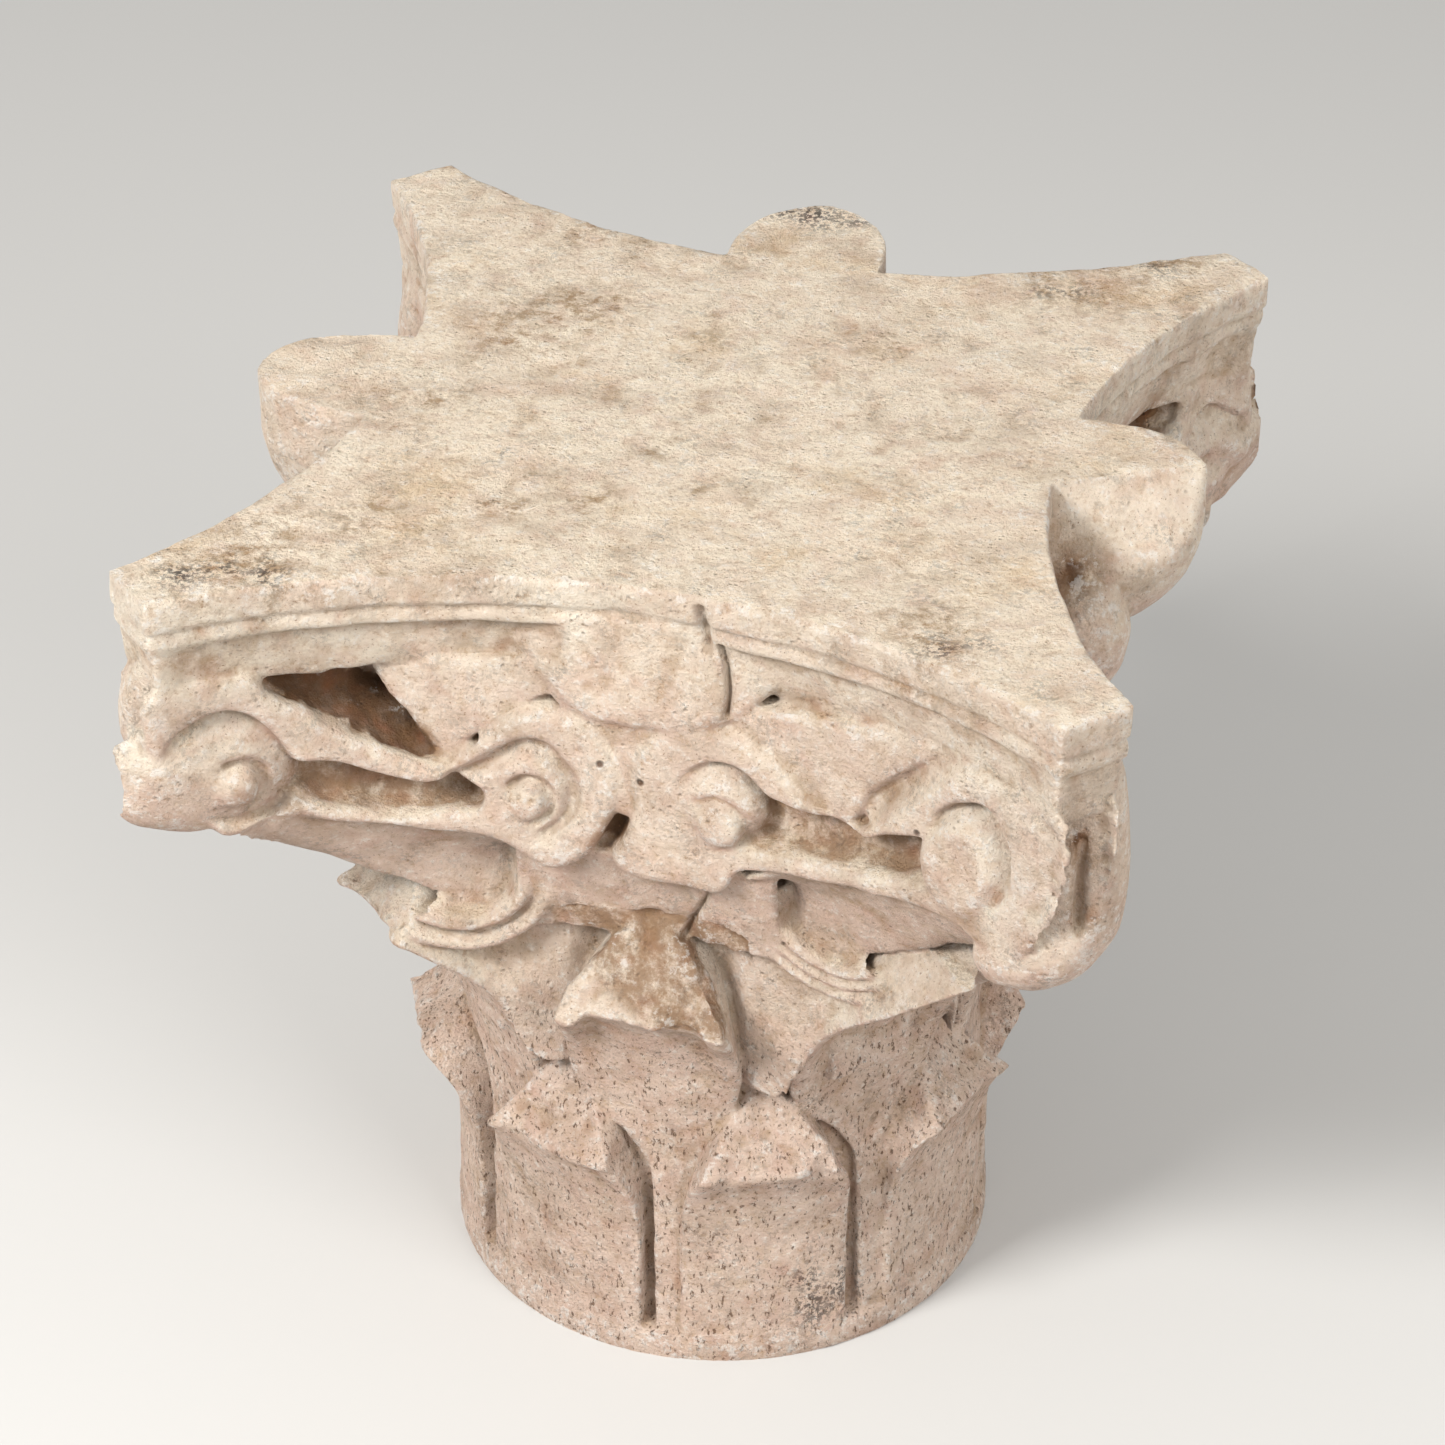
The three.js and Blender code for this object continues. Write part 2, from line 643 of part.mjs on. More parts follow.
// The whole block
const parts = [bell(), abacus()];
for (let number = 0; number < LEAVES; number += 1) {
  parts.push(lowerLeaf(number));
  parts.push(upperLeaf(number));
}
for (let face = 0; face < FACES; face += 1) {
  for (const side of [-1, 1]) {
    const hollowed = HOLLOWED[face].includes(side);
    parts.push(doubleScroll(face, side, hollowed));
    parts.push(stalkAndCalyx(face, side, face < RIBBED_FACES));
    parts.push(innerCalyx(face, side));
    parts.push(sheath(face, side, hollowed));
  }
  if (face > 0) {
    parts.push(boss(face));
  }
  parts.push(...cornerCore(face));
}
parts.push(scar());
let block = join(parts);
block = block.subtract(crack());
for (let corner = 0; corner < FACES; corner += 1) {
  block = block.subtract(cornerSlot(corner));
}
const result = block.getMesh();
const geometry = new THREE.BufferGeometry();
geometry.setAttribute('position', new THREE.Float32BufferAttribute(result.vertProperties, 3));
geometry.setIndex(new THREE.Uint32BufferAttribute(result.triVerts, 1));
const stone = new THREE.MeshStandardMaterial({
  name: 'limestone', color: 0xd9c8ae, roughness: 0.92, metalness: 0,
});
const mesh = new THREE.Mesh(geometry, stone);
mesh.name = 'corinthian_capital';
const group = new THREE.Group();
group.name = 'capital';
group.add(mesh);

export default group;
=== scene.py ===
import math

import bpy
import numpy as np
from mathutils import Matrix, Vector, geometry
from mathutils.bvhtree import BVHTree


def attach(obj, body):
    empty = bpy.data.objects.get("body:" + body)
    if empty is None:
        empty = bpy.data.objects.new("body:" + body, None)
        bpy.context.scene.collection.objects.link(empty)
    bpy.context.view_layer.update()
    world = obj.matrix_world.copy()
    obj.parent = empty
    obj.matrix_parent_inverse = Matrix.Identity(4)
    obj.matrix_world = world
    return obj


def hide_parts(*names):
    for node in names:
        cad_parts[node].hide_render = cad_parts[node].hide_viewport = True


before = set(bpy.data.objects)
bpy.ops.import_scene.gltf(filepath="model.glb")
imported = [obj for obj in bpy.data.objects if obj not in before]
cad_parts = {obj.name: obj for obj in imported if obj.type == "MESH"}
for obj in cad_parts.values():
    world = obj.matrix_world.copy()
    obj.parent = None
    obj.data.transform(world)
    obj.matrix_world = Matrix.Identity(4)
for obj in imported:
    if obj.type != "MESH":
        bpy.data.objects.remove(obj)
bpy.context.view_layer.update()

# Bell of the capital.
# The round core behind the leaves, left standing by the carver, with a plain foot ring
# below and a lip under the abacus. All sizes are millimetres, drawn in metres.
MM = 0.001
HEIGHT = 530
SOFFIT = 468
DRUM_RADIUS = 158
FOOT_RING_HEIGHT = 17
BELL_PROFILE = [
    (DRUM_RADIUS - 1, 0),
    (DRUM_RADIUS, 2),
    (DRUM_RADIUS - 0.5, FOOT_RING_HEIGHT),
    (145, FOOT_RING_HEIGHT + 5),
    (143, 345),
    (150, 410),
    (156, SOFFIT - 12),
    (160, SOFFIT + 12),
]
parts = []


def keep(piece, name):
    piece.name = name
    piece.data.name = name
    parts.append(piece)
    return piece


def turned(name, profile):
    """Rounds stacked from the first radius and height to the last, closed below and above."""
    (radius, height), rest = profile[0], profile[1:]
    bpy.ops.object.select_all(action="DESELECT")
    bpy.ops.mesh.primitive_circle_add(
        vertices=128, radius=radius * MM, fill_type="NGON", location=(0, 0, height * MM)
    )
    piece = bpy.context.object
    bpy.ops.object.transform_apply(location=True, rotation=False, scale=False)
    bpy.ops.object.mode_set(mode="EDIT")
    bpy.ops.mesh.select_all(action="SELECT")
    for wide, high in rest:
        bpy.ops.mesh.extrude_region_move(
            TRANSFORM_OT_translate={"value": (0, 0, (high - height) * MM)}
        )
        bpy.ops.transform.resize(value=(wide / radius, wide / radius, 1))
        radius, height = wide, high
    bpy.ops.object.mode_set(mode="OBJECT")
    return keep(piece, name)


turned("bell", BELL_PROFILE)

# Lower water leaves.
# Eight plain leaves between the axes, flush with the drum at the foot and cut free of one
# another by deep channels. Each tip curled outwards and has broken off at its own height.
PITCH = math.pi / 4
LOWER_PROFILE = [(-0.5, 6), (-1.5, 50), (-0.5, 95), (9, 127), (24, 149), (44, 174)]
LOWER_WIDTHS = [
    (6, 48.5), (100, 48.5), (118, 48), (132, 46), (145, 41), (154, 35), (162, 27), (168, 19), (174, 9),
]
LOWER_TURNS = [0.6, 0.9, 0.6, 0.6, 0.6, 0.6, 0.8, 1.6]
RIM_WIDTH = 14
LEAF_BACK = 138
LEAF_RISE = 14
breaks = []
LOWER_BREAKS = [
    (175, 134, 64), (174, 147, 50), (176, 138, 62), (176, 138, 64),
    (184, 152, 54), (178, 140, 60), (198, 134, 46), (175, 134, 62),
]


def polar(angle, reach, z):
    """Angle 0 looks towards the front and grows towards the right."""
    return np.stack(np.broadcast_arrays(reach * np.sin(angle), -reach * np.cos(angle), z), -1)


def curve(stations, count, closed=False):
    """Points of a smooth line through the stations, evenly spread over its spans."""
    stations = np.array(stations, float)
    if closed:
        ring = np.concatenate([stations[-1:], stations, stations[:2]])
        spans = len(stations)
    else:
        head = 2 * stations[:1] - stations[1:2]
        tail = 2 * stations[-1:] - stations[-2:-1]
        ring = np.concatenate([head, stations, tail])
        spans = len(stations) - 1
    place = np.linspace(0, spans, count, endpoint=not closed)
    span = np.minimum(place.astype(int), spans - 1)
    t = (place - span)[:, None]
    a, b, c, d = (ring[span + k] for k in range(4))
    return 0.5 * (2 * b + (c - a) * t + (2 * a - 5 * b + 4 * c - d) * t**2
                  + (3 * b - 3 * c + d - a) * t**3)


def lattice(points, size, seed):
    """Soft random field from -1 to 1 with lumps of about the given size in millimetres."""
    q = points / np.asarray(size, float) + seed * 17.31
    cell = np.floor(q).astype(np.int64)
    f = q - cell
    f = f * f * (3 - 2 * f)
    total = np.zeros(len(q))
    for corner in range(8):
        step = np.array([corner & 1, corner >> 1 & 1, corner >> 2 & 1])
        key = cell + step
        mixed = key[:, 0] * 73856093 ^ key[:, 1] * 19349663 ^ key[:, 2] * 83492791 ^ seed * 2654435
        mixed = (mixed ^ mixed >> 13) * 1274126177 & 0xFFFFFFFF
        mixed = (mixed ^ mixed >> 16) * 2246822519 & 0xFFFFFFFF
        value = (mixed >> 8 & 0xFFFF) / 32767.5 - 1
        total += value * np.prod(np.where(step, f, 1 - f), 1)
    return total


def closed_sheet(name, front, back):
    """Closed body between a front and a back grid of points in millimetres."""
    rows, columns = front.shape[:2]
    near = np.arange(rows * columns).reshape(rows, columns)
    far = near + rows * columns
    faces = []
    for grid, turn in ((near, 1), (far, -1)):
        quads = np.stack([grid[:-1, :-1], grid[:-1, 1:], grid[1:, 1:], grid[1:, :-1]], -1)
        faces.extend(quads.reshape(-1, 4)[:, ::turn].tolist())
    rim = [np.concatenate([g[0, :-1], g[:-1, -1], g[-1, :0:-1], g[:0:-1, 0]]) for g in (near, far)]
    ahead = [np.roll(line, -1) for line in rim]
    faces.extend(np.stack([rim[0], rim[1], ahead[1], ahead[0]], -1).tolist())
    mesh = bpy.data.meshes.new(name)
    points = np.concatenate([front.reshape(-1, 3), back.reshape(-1, 3)]) * MM
    mesh.from_pydata(points.tolist(), [], faces)
    piece = bpy.data.objects.new(name, mesh)
    bpy.context.collection.objects.link(piece)
    return keep(piece, name)


def leaf(name, angle, radius, profile, widths, hollow, tip, drift=0):
    """Leaf bent along a side profile, its panel hollowed inside a rim, broken at a plane."""
    rows, columns = 110, 56
    spine = curve(profile, rows) + [radius, 0]
    run = np.gradient(spine, axis=0)
    run /= np.linalg.norm(run, axis=1)[:, None]
    half = np.interp(spine[:, 1], *zip(*widths))
    half = np.convolve(np.pad(half, 4, "edge"), np.ones(9) / 9, "valid")[:, None]
    x = np.linspace(-1, 1, columns)[None, :]
    inward = np.clip((1 - np.abs(x)) * half / RIM_WIDTH - 0.4, 0, 1)
    curled = np.clip((spine[:, :1] - radius + 4) / 30, 0.15, 1)
    dish = hollow * curled * inward * inward * (3 - 2 * inward)
    r = spine[:, :1] - run[:, 1:] * dish
    z = spine[:, 1:] + run[:, :1] * dish
    aside = math.radians(drift) * np.clip((190 - spine[:, 1:]) / 35, 0, 1)
    turn = angle + aside + x * half / spine[:, :1]
    behind = np.full_like(r, LEAF_BACK)
    lift = LEAF_RISE * np.clip((spine[:, :1] - radius) / 40, 0, 1) + 0 * x
    piece = closed_sheet(name, polar(turn, r, z), polar(turn, behind, z + lift))
    reach, height, slope = tip
    lean = math.radians(slope)
    bpy.ops.object.select_all(action="DESELECT")
    piece.select_set(True)
    bpy.context.view_layer.objects.active = piece
    bpy.ops.object.mode_set(mode="EDIT")
    bpy.ops.mesh.select_all(action="SELECT")
    bpy.ops.mesh.bisect(
        plane_co=polar(angle, reach, height) * MM,
        plane_no=polar(angle, math.sin(lean), math.cos(lean)),
        use_fill=True, clear_outer=True,
    )
    bpy.ops.object.mode_set(mode="OBJECT")
    breaks.append((angle, reach, height, lean, widths))
    return piece


for number, tip in enumerate(LOWER_BREAKS):
    leaf(
        f"lower leaf {number}", (number + 0.5) * PITCH + math.radians(LOWER_TURNS[number]),
        DRUM_RADIUS, LOWER_PROFILE,
        LOWER_WIDTHS, 6, tip,
    )

# Upper water leaves.
# Eight taller leaves on the axes and the diagonals. Each runs down between the lower ones
# as a narrow strip, and flares out to a thick tip that is broken back, the front one most.
UPPER_STRIP_RADIUS = 155
STRIP_DRIFT = 2.5
UPPER_PROFILE = [(0, 8), (-3, 118), (-4, 150), (1, 184), (15, 222), (40, 256), (77, 288), (117, 324)]
UPPER_WIDTHS = [
    (8, 8.2), (112, 8.6), (126, 10), (136, 13), (145, 18), (154, 24), (162, 31), (171, 39),
    (182, 46), (205, 50), (230, 50), (258, 45), (280, 39), (300, 31), (312, 24), (324, 14),
]
STUB_WIDTHS = UPPER_WIDTHS[:10] + [
    (230, 50), (256, 48), (266, 45), (274, 40), (282, 32), (289, 21), (295, 7),
]
UPPER_BREAKS = [
    (184, 258, 62), (272, 330, 26), (214, 276, 52), (250, 308, 34),
    (200, 268, 56), (262, 318, 30), (206, 272, 50), (226, 286, 50),
]

UPPER_HOLLOWS = [8, 15, 15, 15, 15, 15, 15, 4]

for number, tip in enumerate(UPPER_BREAKS):
    leaf(
        f"upper leaf {number}", number * PITCH, UPPER_STRIP_RADIUS, UPPER_PROFILE,
        STUB_WIDTHS if number == 0 else UPPER_WIDTHS, UPPER_HOLLOWS[number], tip, STRIP_DRIFT,
    )

# Volute band.
# On each face two double scrolls, a corner volute and an inner helix in one raised band
# round a sunk channel, cut into a field that follows the hollow side of the abacus.
CORNER_REACH = 349
CORNER_HALF_WIDTH = 21
SIDE_HALF_DEPTH = 184
HALF_SIDE = (CORNER_REACH + CORNER_HALF_WIDTH) / math.sqrt(2)
HALF_CHORD = (CORNER_REACH - CORNER_HALF_WIDTH) / math.sqrt(2)
RISE = HALF_SIDE - SIDE_HALF_DEPTH
SIDE_RADIUS = (HALF_CHORD**2 + RISE**2) / (2 * RISE)
FIELD_CENTRE = SIDE_HALF_DEPTH + SIDE_RADIUS
FIELD_RADIUS = SIDE_RADIUS + 4
DEEP = -95
CORE_RADIUS = 146


def on_field(face, s, z, out):
    """Points along a face, up, and out from its field, held at the diagonals of the block."""
    lean = np.arcsin(np.clip(s / FIELD_RADIUS, -1, 1))
    x = (FIELD_RADIUS - out) * np.sin(lean)
    y = (FIELD_RADIUS - out) * np.cos(lean) - FIELD_CENTRE
    past = np.maximum((np.abs(x) + y) / 2 - 1, 0)
    x = x - np.sign(x) * past
    y = y - past
    turn = face * math.pi / 2
    return np.stack(np.broadcast_arrays(
        x * math.cos(turn) - y * math.sin(turn), x * math.sin(turn) + y * math.cos(turn), z), -1)


def from_field(face, points):
    """Place along a face, and out from its field, of points of the block."""
    turn = face * math.pi / 2
    x = points[:, 0] * math.cos(turn) + points[:, 1] * math.sin(turn)
    y = points[:, 1] * math.cos(turn) - points[:, 0] * math.sin(turn)
    away = np.hypot(x, y + FIELD_CENTRE)
    return FIELD_RADIUS * x / away, FIELD_RADIUS - away, -y > np.abs(x) - 3


def to_core(face, s, z):
    """Points straight in from the field to the core of the block."""
    spots = on_field(face, s, z, 0)
    spots[..., :2] *= (CORE_RADIUS / np.hypot(spots[..., 0], spots[..., 1]))[..., None]
    return spots


def carve(name, face, s, z, depth):
    """Relief on the field of a face, solid to the core, and cut to the core where it is deep."""
    core = to_core(face, s, z)
    front = np.where((depth <= DEEP)[..., None], core, on_field(face, s, z, depth))
    core[..., :2] *= 0.97
    return closed_sheet(name, front, core)


def inside(outline, s, z):
    """Distance in from a smooth closed outline, less than nothing outside it."""
    line = curve(outline, 5 * len(outline), closed=True)
    a, b = line, np.roll(line, -1, 0)
    best = np.full(s.shape, 1e9)
    within = np.zeros(s.shape, bool)
    for (ax, ay), (bx, by) in zip(a, b):
        dx, dy = bx - ax, by - ay
        t = np.clip(((s - ax) * dx + (z - ay) * dy) / max(dx * dx + dy * dy, 1e-9), 0, 1)
        best = np.minimum(best, (s - ax - t * dx) ** 2 + (z - ay - t * dy) ** 2)
        if ay != by:
            within ^= ((ay > z) != (by > z)) & (s < (bx - ax) * (z - ay) / (by - ay) + ax)
    return np.where(within, 1, -1) * np.sqrt(best)


def beside(line, s, z):
    """Distance from an open smooth line."""
    line = curve(line, 6 * len(line))
    best = np.full(s.shape, 1e9)
    for (ax, ay), (bx, by) in zip(line[:-1], line[1:]):
        dx, dy = bx - ax, by - ay
        t = np.clip(((s - ax) * dx + (z - ay) * dy) / max(dx * dx + dy * dy, 1e-9), 0, 1)
        best = np.minimum(best, (s - ax - t * dx) ** 2 + (z - ay - t * dy) ** 2)
    return np.sqrt(best)


def plate(depth, s, z, outline, level, edge=5, fall=0, dish=0):
    """Raised plate with a rounded edge; it may fall away from its edge or dip in its middle."""
    d = inside(outline, s, z)
    inner = np.clip(d, 0, edge)
    face = level - edge + np.sqrt(edge**2 - (edge - inner) ** 2) - fall * np.maximum(d, 0) - dish * np.clip(d / 25, 0, 1)
    return np.where(d > 0, np.maximum(depth, face), depth)


def sink(depth, s, z, outline, level, wall=3):
    """Sunk floor inside an outline, with walls that slope in over the given width."""
    d = inside(outline, s, z)
    share = np.clip(d / wall, 0, 1)
    share = share * share * (3 - 2 * share)
    return np.where(d > 0, np.minimum(depth, depth * (1 - share) + level * share), depth)


def groove(depth, s, z, line, width, cut):
    d = beside(line, s, z) / width
    return depth - cut * np.exp(-(d**2))


def dome(depth, s, z, centre, radii, level, rise):
    """Round knob standing on the given level, flat enough on top to read as worn."""
    d = np.hypot((s - centre[0]) / radii[0], (z - centre[1]) / radii[1])
    top = level + rise * np.clip((1 - d**4), 0, 1) ** 0.5
    return np.where(d < 1, np.maximum(depth, top), depth)


def ball(depth, s, z, centre, radii, level, rise):
    """Rounded boss of a scroll, steeper towards its foot."""
    d = np.hypot((s - centre[0]) / radii[0], (z - centre[1]) / radii[1])
    return np.where(d < 1, np.maximum(depth, level + rise * np.sqrt(np.clip(1 - d**2.4, 0, 1))), depth)


def flanked(depth, s, z, outline, top, foot, flank):
    """Flat disc with a sloping flank all round it."""
    d = inside(outline, s, z)
    slope = top + (top - foot) * np.clip(d / flank, -1, 0)
    return np.where(d > -flank, np.maximum(depth, slope), depth)


def right_scroll(s, z):
    """Relief of a scroll on the right of a face: volute outwards, helix inwards."""
    depth = np.full(s.shape, float(DEEP))
    depth = plate(depth, s, z, [
        (12, 476), (14, 452), (33, 456), (60, 462), (100, 468), (137, 474), (180, 478),
        (168, 468), (150, 446), (130, 424), (118, 404), (92, 404), (66, 404), (20, 404), (-2, 420), (-12, 450), (-12, 476),
    ], -6, 3)
    depth = plate(depth, s, z, [
        (28, 347), (37, 345), (47, 349), (54, 362), (70, 367), (96, 370), (136, 376),
        (167, 377), (190, 371), (204, 368), (218, 384), (231, 413), (237, 440), (238, 460),
        (234, 477), (212, 482), (186, 482), (170, 466), (152, 444), (136, 428), (122, 412),
        (108, 410), (92, 418), (74, 434), (56, 446), (36, 450), (16, 447), (3, 434),
        (-3, 416), (-3, 400), (-4, 387), (-9, 373), (-15, 361), (-11, 352), (2, 347), (16, 346),
    ], 0, 5)
    depth = sink(depth, s, z, [
        (52, 412), (62, 420), (72, 415), (88, 413), (105, 412), (122, 409), (138, 417),
        (160, 423), (163, 410), (164, 398), (148, 390), (133, 386), (111, 382), (88, 380),
        (70, 379), (56, 381), (58, 394),
    ], -17, 6)
    depth = sink(depth, s, z, [
        (20, 402), (22, 414), (30, 424), (41, 430), (54, 429), (64, 422), (71, 412), (68, 396),
        (60, 384), (48, 379), (36, 384), (26, 392),
    ], -15, 3)
    depth = ball(depth, s, z, (41, 401), (27, 27), -15, 18)
    depth = ball(depth, s, z, (44, 391), (13, 13), 0, 6)
    depth = groove(depth, s, z, [(32, 403), (42, 407), (52, 403), (58, 392), (55, 381)], 2.2, 4)
    depth = sink(depth, s, z, [
        (162, 437), (168, 447), (179, 455), (192, 457), (203, 444), (205, 421), (199, 402),
        (187, 389), (172, 385), (162, 390), (158, 410),
    ], -13, 2.5)
    depth = flanked(depth, s, z, [
        (163, 425), (172, 436), (180, 440), (189, 432), (193, 415), (189, 398), (179, 387),
        (168, 389), (160, 400), (159, 414),
    ], 3, -13, 11)
    depth = groove(depth, s, z, [(118, 412), (125, 427), (136, 440), (155, 461), (172, 480)], 3.2, 7)
    depth = groove(depth, s, z, [(224, 470), (228, 455), (227, 430), (220, 412)], 5, 3)
    return depth


def left_scroll(s, z):
    """Relief of the scroll on the left of the front, its spandrel cut through to the bell."""
    depth = np.full(s.shape, float(DEEP))
    pale = plate(depth, s, z, [
        (-102, 402), (-88, 424), (-62, 446), (-38, 458), (-30, 477), (-128, 477), (-129, 452), (-116, 430),
    ], -6, 3)
    depth = np.where(pale > DEEP, pale - 0.22 * np.maximum(-84 - s, 0), depth)
    depth = plate(depth, s, z, [
        (-12, 391), (-19, 373), (-28, 358), (-38, 350), (-50, 347), (-62, 354), (-78, 364), (-94, 367),
        (-124, 371), (-151, 377), (-172, 383), (-186, 384), (-204, 376), (-214, 388), (-224, 402), (-231, 420),
        (-237, 440), (-238, 462), (-233, 478), (-215, 480), (-190, 478), (-180, 460), (-165, 448),
        (-150, 435), (-132, 423), (-113, 414), (-98, 412), (-84, 426), (-66, 444), (-46, 448), (-26, 440),
        (-13, 420),
    ], 0, 6)
    slope = -9 - 2.6 * np.maximum(z - np.interp(s, [-182, -150, -113], [458, 434, 413]), 0)
    back = inside([(-184, 470), (-168, 464), (-150, 447), (-132, 431), (-110, 420), (-108, 408), (-150, 430), (-184, 456)], s, z)
    depth = np.where(back > 0, np.maximum(depth, slope), depth)
    depth = sink(depth, s, z, [
        (-180, 421), (-168, 420), (-152, 417), (-133, 408), (-113, 402), (-98, 404), (-86, 400), (-80, 392),
        (-84, 382), (-104, 381), (-124, 379), (-148, 384), (-162, 390), (-180, 400),
    ], -19, 5)
    depth = sink(depth, s, z, [
        (-207, 456), (-196, 454), (-187, 447), (-180, 437), (-174, 425), (-170, 412), (-172, 398),
        (-182, 388), (-200, 384), (-216, 392), (-228, 408), (-232, 428), (-226, 446),
    ], -19, 3)
    depth = ball(depth, s, z, (-212, 417), (42, 40), -19, 21)
    depth = ball(depth, s, z, (-199, 409), (11, 12), 0, 8)
    depth = groove(depth, s, z, [(-203, 424), (-193, 423), (-187, 414), (-187, 402), (-193, 394)], 2.2, 5)
    depth = groove(depth, s, z, [
        (-96, 404), (-83, 410), (-72, 418), (-62, 424), (-51, 423), (-41, 412), (-36, 397), (-40, 381), (-50, 370),
    ], 4, 7)
    depth = dome(depth, s, z, (-58, 391), (11, 12), -2, 5)
    depth = groove(depth, s, z, [(-66, 400), (-60, 404), (-52, 402), (-47, 394), (-48, 384), (-56, 377)], 2.6, 6)
    return depth


def centre_plate(depth, s, z):
    """Plain stone between the two helices, with the gap below it."""
    depth = plate(depth, s, z, [
        (-42, 462), (42, 462), (26, 430), (10, 404), (-4, 386), (-12, 386), (-22, 410), (-34, 436),
    ], -3, 3)
    depth = plate(depth, s, z, [(0, 404), (-24, 404), (-44, 340), (0, 340)], -13, 3)
    return depth


STEP = 1.5
along_face = np.arange(-248, 248.1, STEP)
up_face = np.arange(343, 476.1, STEP)
for face in range(4):
    s, z = np.meshgrid(along_face, up_face)
    right = right_scroll(s, z)
    left = left_scroll(s, z) if face == 0 else right_scroll(-s, z)
    if face == 1:
        right = left_scroll(-s, z)
    depth = centre_plate(np.maximum(left, right), s, z)
    carve(f"volute band {face}", face, s, z, depth)


def roll(name, stations):
    """Roll of stone along a smooth path of centres and radii, as a close row of balls."""
    for number, (x, y, z, radius) in enumerate(curve(stations, 6 * len(stations))):
        bpy.ops.object.select_all(action="DESELECT")
        bpy.ops.mesh.primitive_uv_sphere_add(
            segments=28, ring_count=18, radius=radius * MM, location=(x * MM, y * MM, z * MM)
        )
        keep(bpy.context.object, f"{name} {number}")


# The volutes of the two side faces roll round under the front corners of the abacus.
roll("left corner roll", [
    (-234, -234, 474, 17), (-240, -231, 458, 20), (-241, -230, 442, 21), (-237, -228, 428, 18),
])
roll("right corner roll", [
    (238, -216, 474, 20), (233, -213, 446, 28), (232, -212, 418, 30), (232, -213, 396, 29),
    (227, -218, 380, 25), (217, -222, 370, 20), (202, -219, 364, 17),
])
roll("back corner roll", [
    (-226, 226, 474, 22), (-229, 229, 446, 28), (-229, 229, 418, 29), (-227, 227, 394, 27),
    (-219, 219, 378, 23), (-208, 208, 366, 19),
])
roll("right middle lump", [(206, -38, 466, 22), (208, -36, 444, 24), (202, -34, 420, 19)])

# Stalks, collars and calyx leaves.
# Behind the upper leaves eight stalks rise to a ribbed collar, and from each an outer and an
# inner calyx leaf fan out to carry the scrolls. Their undersides are cut hollow.
COLLAR = [(46, 340), (50, 312), (62, 292), (84, 279), (108, 279), (130, 291)]
SPREAD = [(1, 0), (0.9, 0.3), (0.7, 0.7), (0.2, 1), (-0.3, 1), (-0.7, 0.7)]
STALK_FOOT = [(50, 195), (53, 195), (56, 194), (60, 193), (64, 194), (67, 196)]
STALK_HEAD = [(45, 262), (51, 256), (60, 250), (72, 247), (85, 250), (96, 258)]
CALYX_MIDDLE = [(68, 352), (78, 345), (93, 340), (115, 335), (142, 335), (172, 348)]
CALYX_RIM = [(56, 357), (74, 367), (104, 376), (138, 380), (172, 383), (206, 378)]


def collar_ring(spread):
    return [(s + ds * spread, z + dz * spread) for (s, z), (ds, dz) in zip(COLLAR, SPREAD)]


THICK_RIBS = [
    (-3, 35), (-1, 28), (2, 21), (6, 20), (9, 23), (11, 29), (12, 29), (14, 21), (18, 19), (21, 22),
    (23, 29), (26, 34),
]
FINE_RIBS = [
    (-1, 33), (1, 27), (5, 26), (6.5, 30), (8, 30), (9.5, 26), (12, 26), (13.5, 30), (15, 30),
    (16.5, 26), (20, 26), (22, 30), (25, 35),
]


def calyx(face, side, ribs):
    rows = [(STALK_FOOT, 36), (STALK_HEAD, 33)] + [(collar_ring(spread), sunk) for spread, sunk in ribs]
    rows += [(CALYX_MIDDLE, 27), (CALYX_RIM, 4)]
    lines = np.array([curve(line, 48) for line, _ in rows])
    sunk = np.array([depth for _, depth in rows], float)
    sheet = np.concatenate([lines, np.broadcast_to(sunk[:, None, None], lines.shape[:2] + (1,))], 2)
    spread = curve(sheet.reshape(len(rows), -1), 8 * len(rows)).reshape(-1, 48, 3)
    s, z, out = side * spread[..., 0], spread[..., 1], -spread[..., 2]
    carve(f"calyx {face} {side}", face, s, z, out)


JOINT = 20


def inner_calyx(face, side):
    across = np.linspace(0, 1, 30)[None, :]
    up = np.linspace(0, 1, 30)[:, None]
    joint = JOINT * side
    s = joint + 0.7 * side + across * (66 + 4 * up - joint)
    z = 296 - 4 * across * (1 - up) + up * (62 + 2 * across)
    ridge = 4 * 4 * (across - 0.5) ** 2
    out = -24 + 17 * up**1.4 - ridge
    carve(f"inner calyx {face} {side}", face, side * s, z, out)


for face in range(4):
    for side in (-1, 1):
        calyx(face, side, THICK_RIBS if side < 0 else FINE_RIBS)
        inner_calyx(face, side)

# Uncut stone on the diagonals behind the leaves and the volutes.
CORE_STEPS = [(160, 196, 262), (182, 250, 330), (204, 270, 420), (255, 400, 469)]
WEB = (268, 380, 469)
for corner in range(4):
    angle = (corner + 0.5) * math.pi / 2
    steps = (CORE_STEPS if corner == 1 else CORE_STEPS[:2]) + [WEB]
    for reach, low, high in steps:
        bpy.ops.object.select_all(action="DESELECT")
        bpy.ops.mesh.primitive_cube_add(
            size=1, location=(
                (reach + 120) / 2 * math.sin(angle) * MM,
                -(reach + 120) / 2 * math.cos(angle) * MM, (low + high) / 2 * MM,
            ),
            rotation=(0, 0, angle), scale=((26 if reach == WEB[0] else 50) * MM, (reach - 120) * MM, (high - low) * MM),
        )
        core = bpy.context.object
        bpy.ops.object.transform_apply()
        keep(core, f"corner core {corner} {reach}")

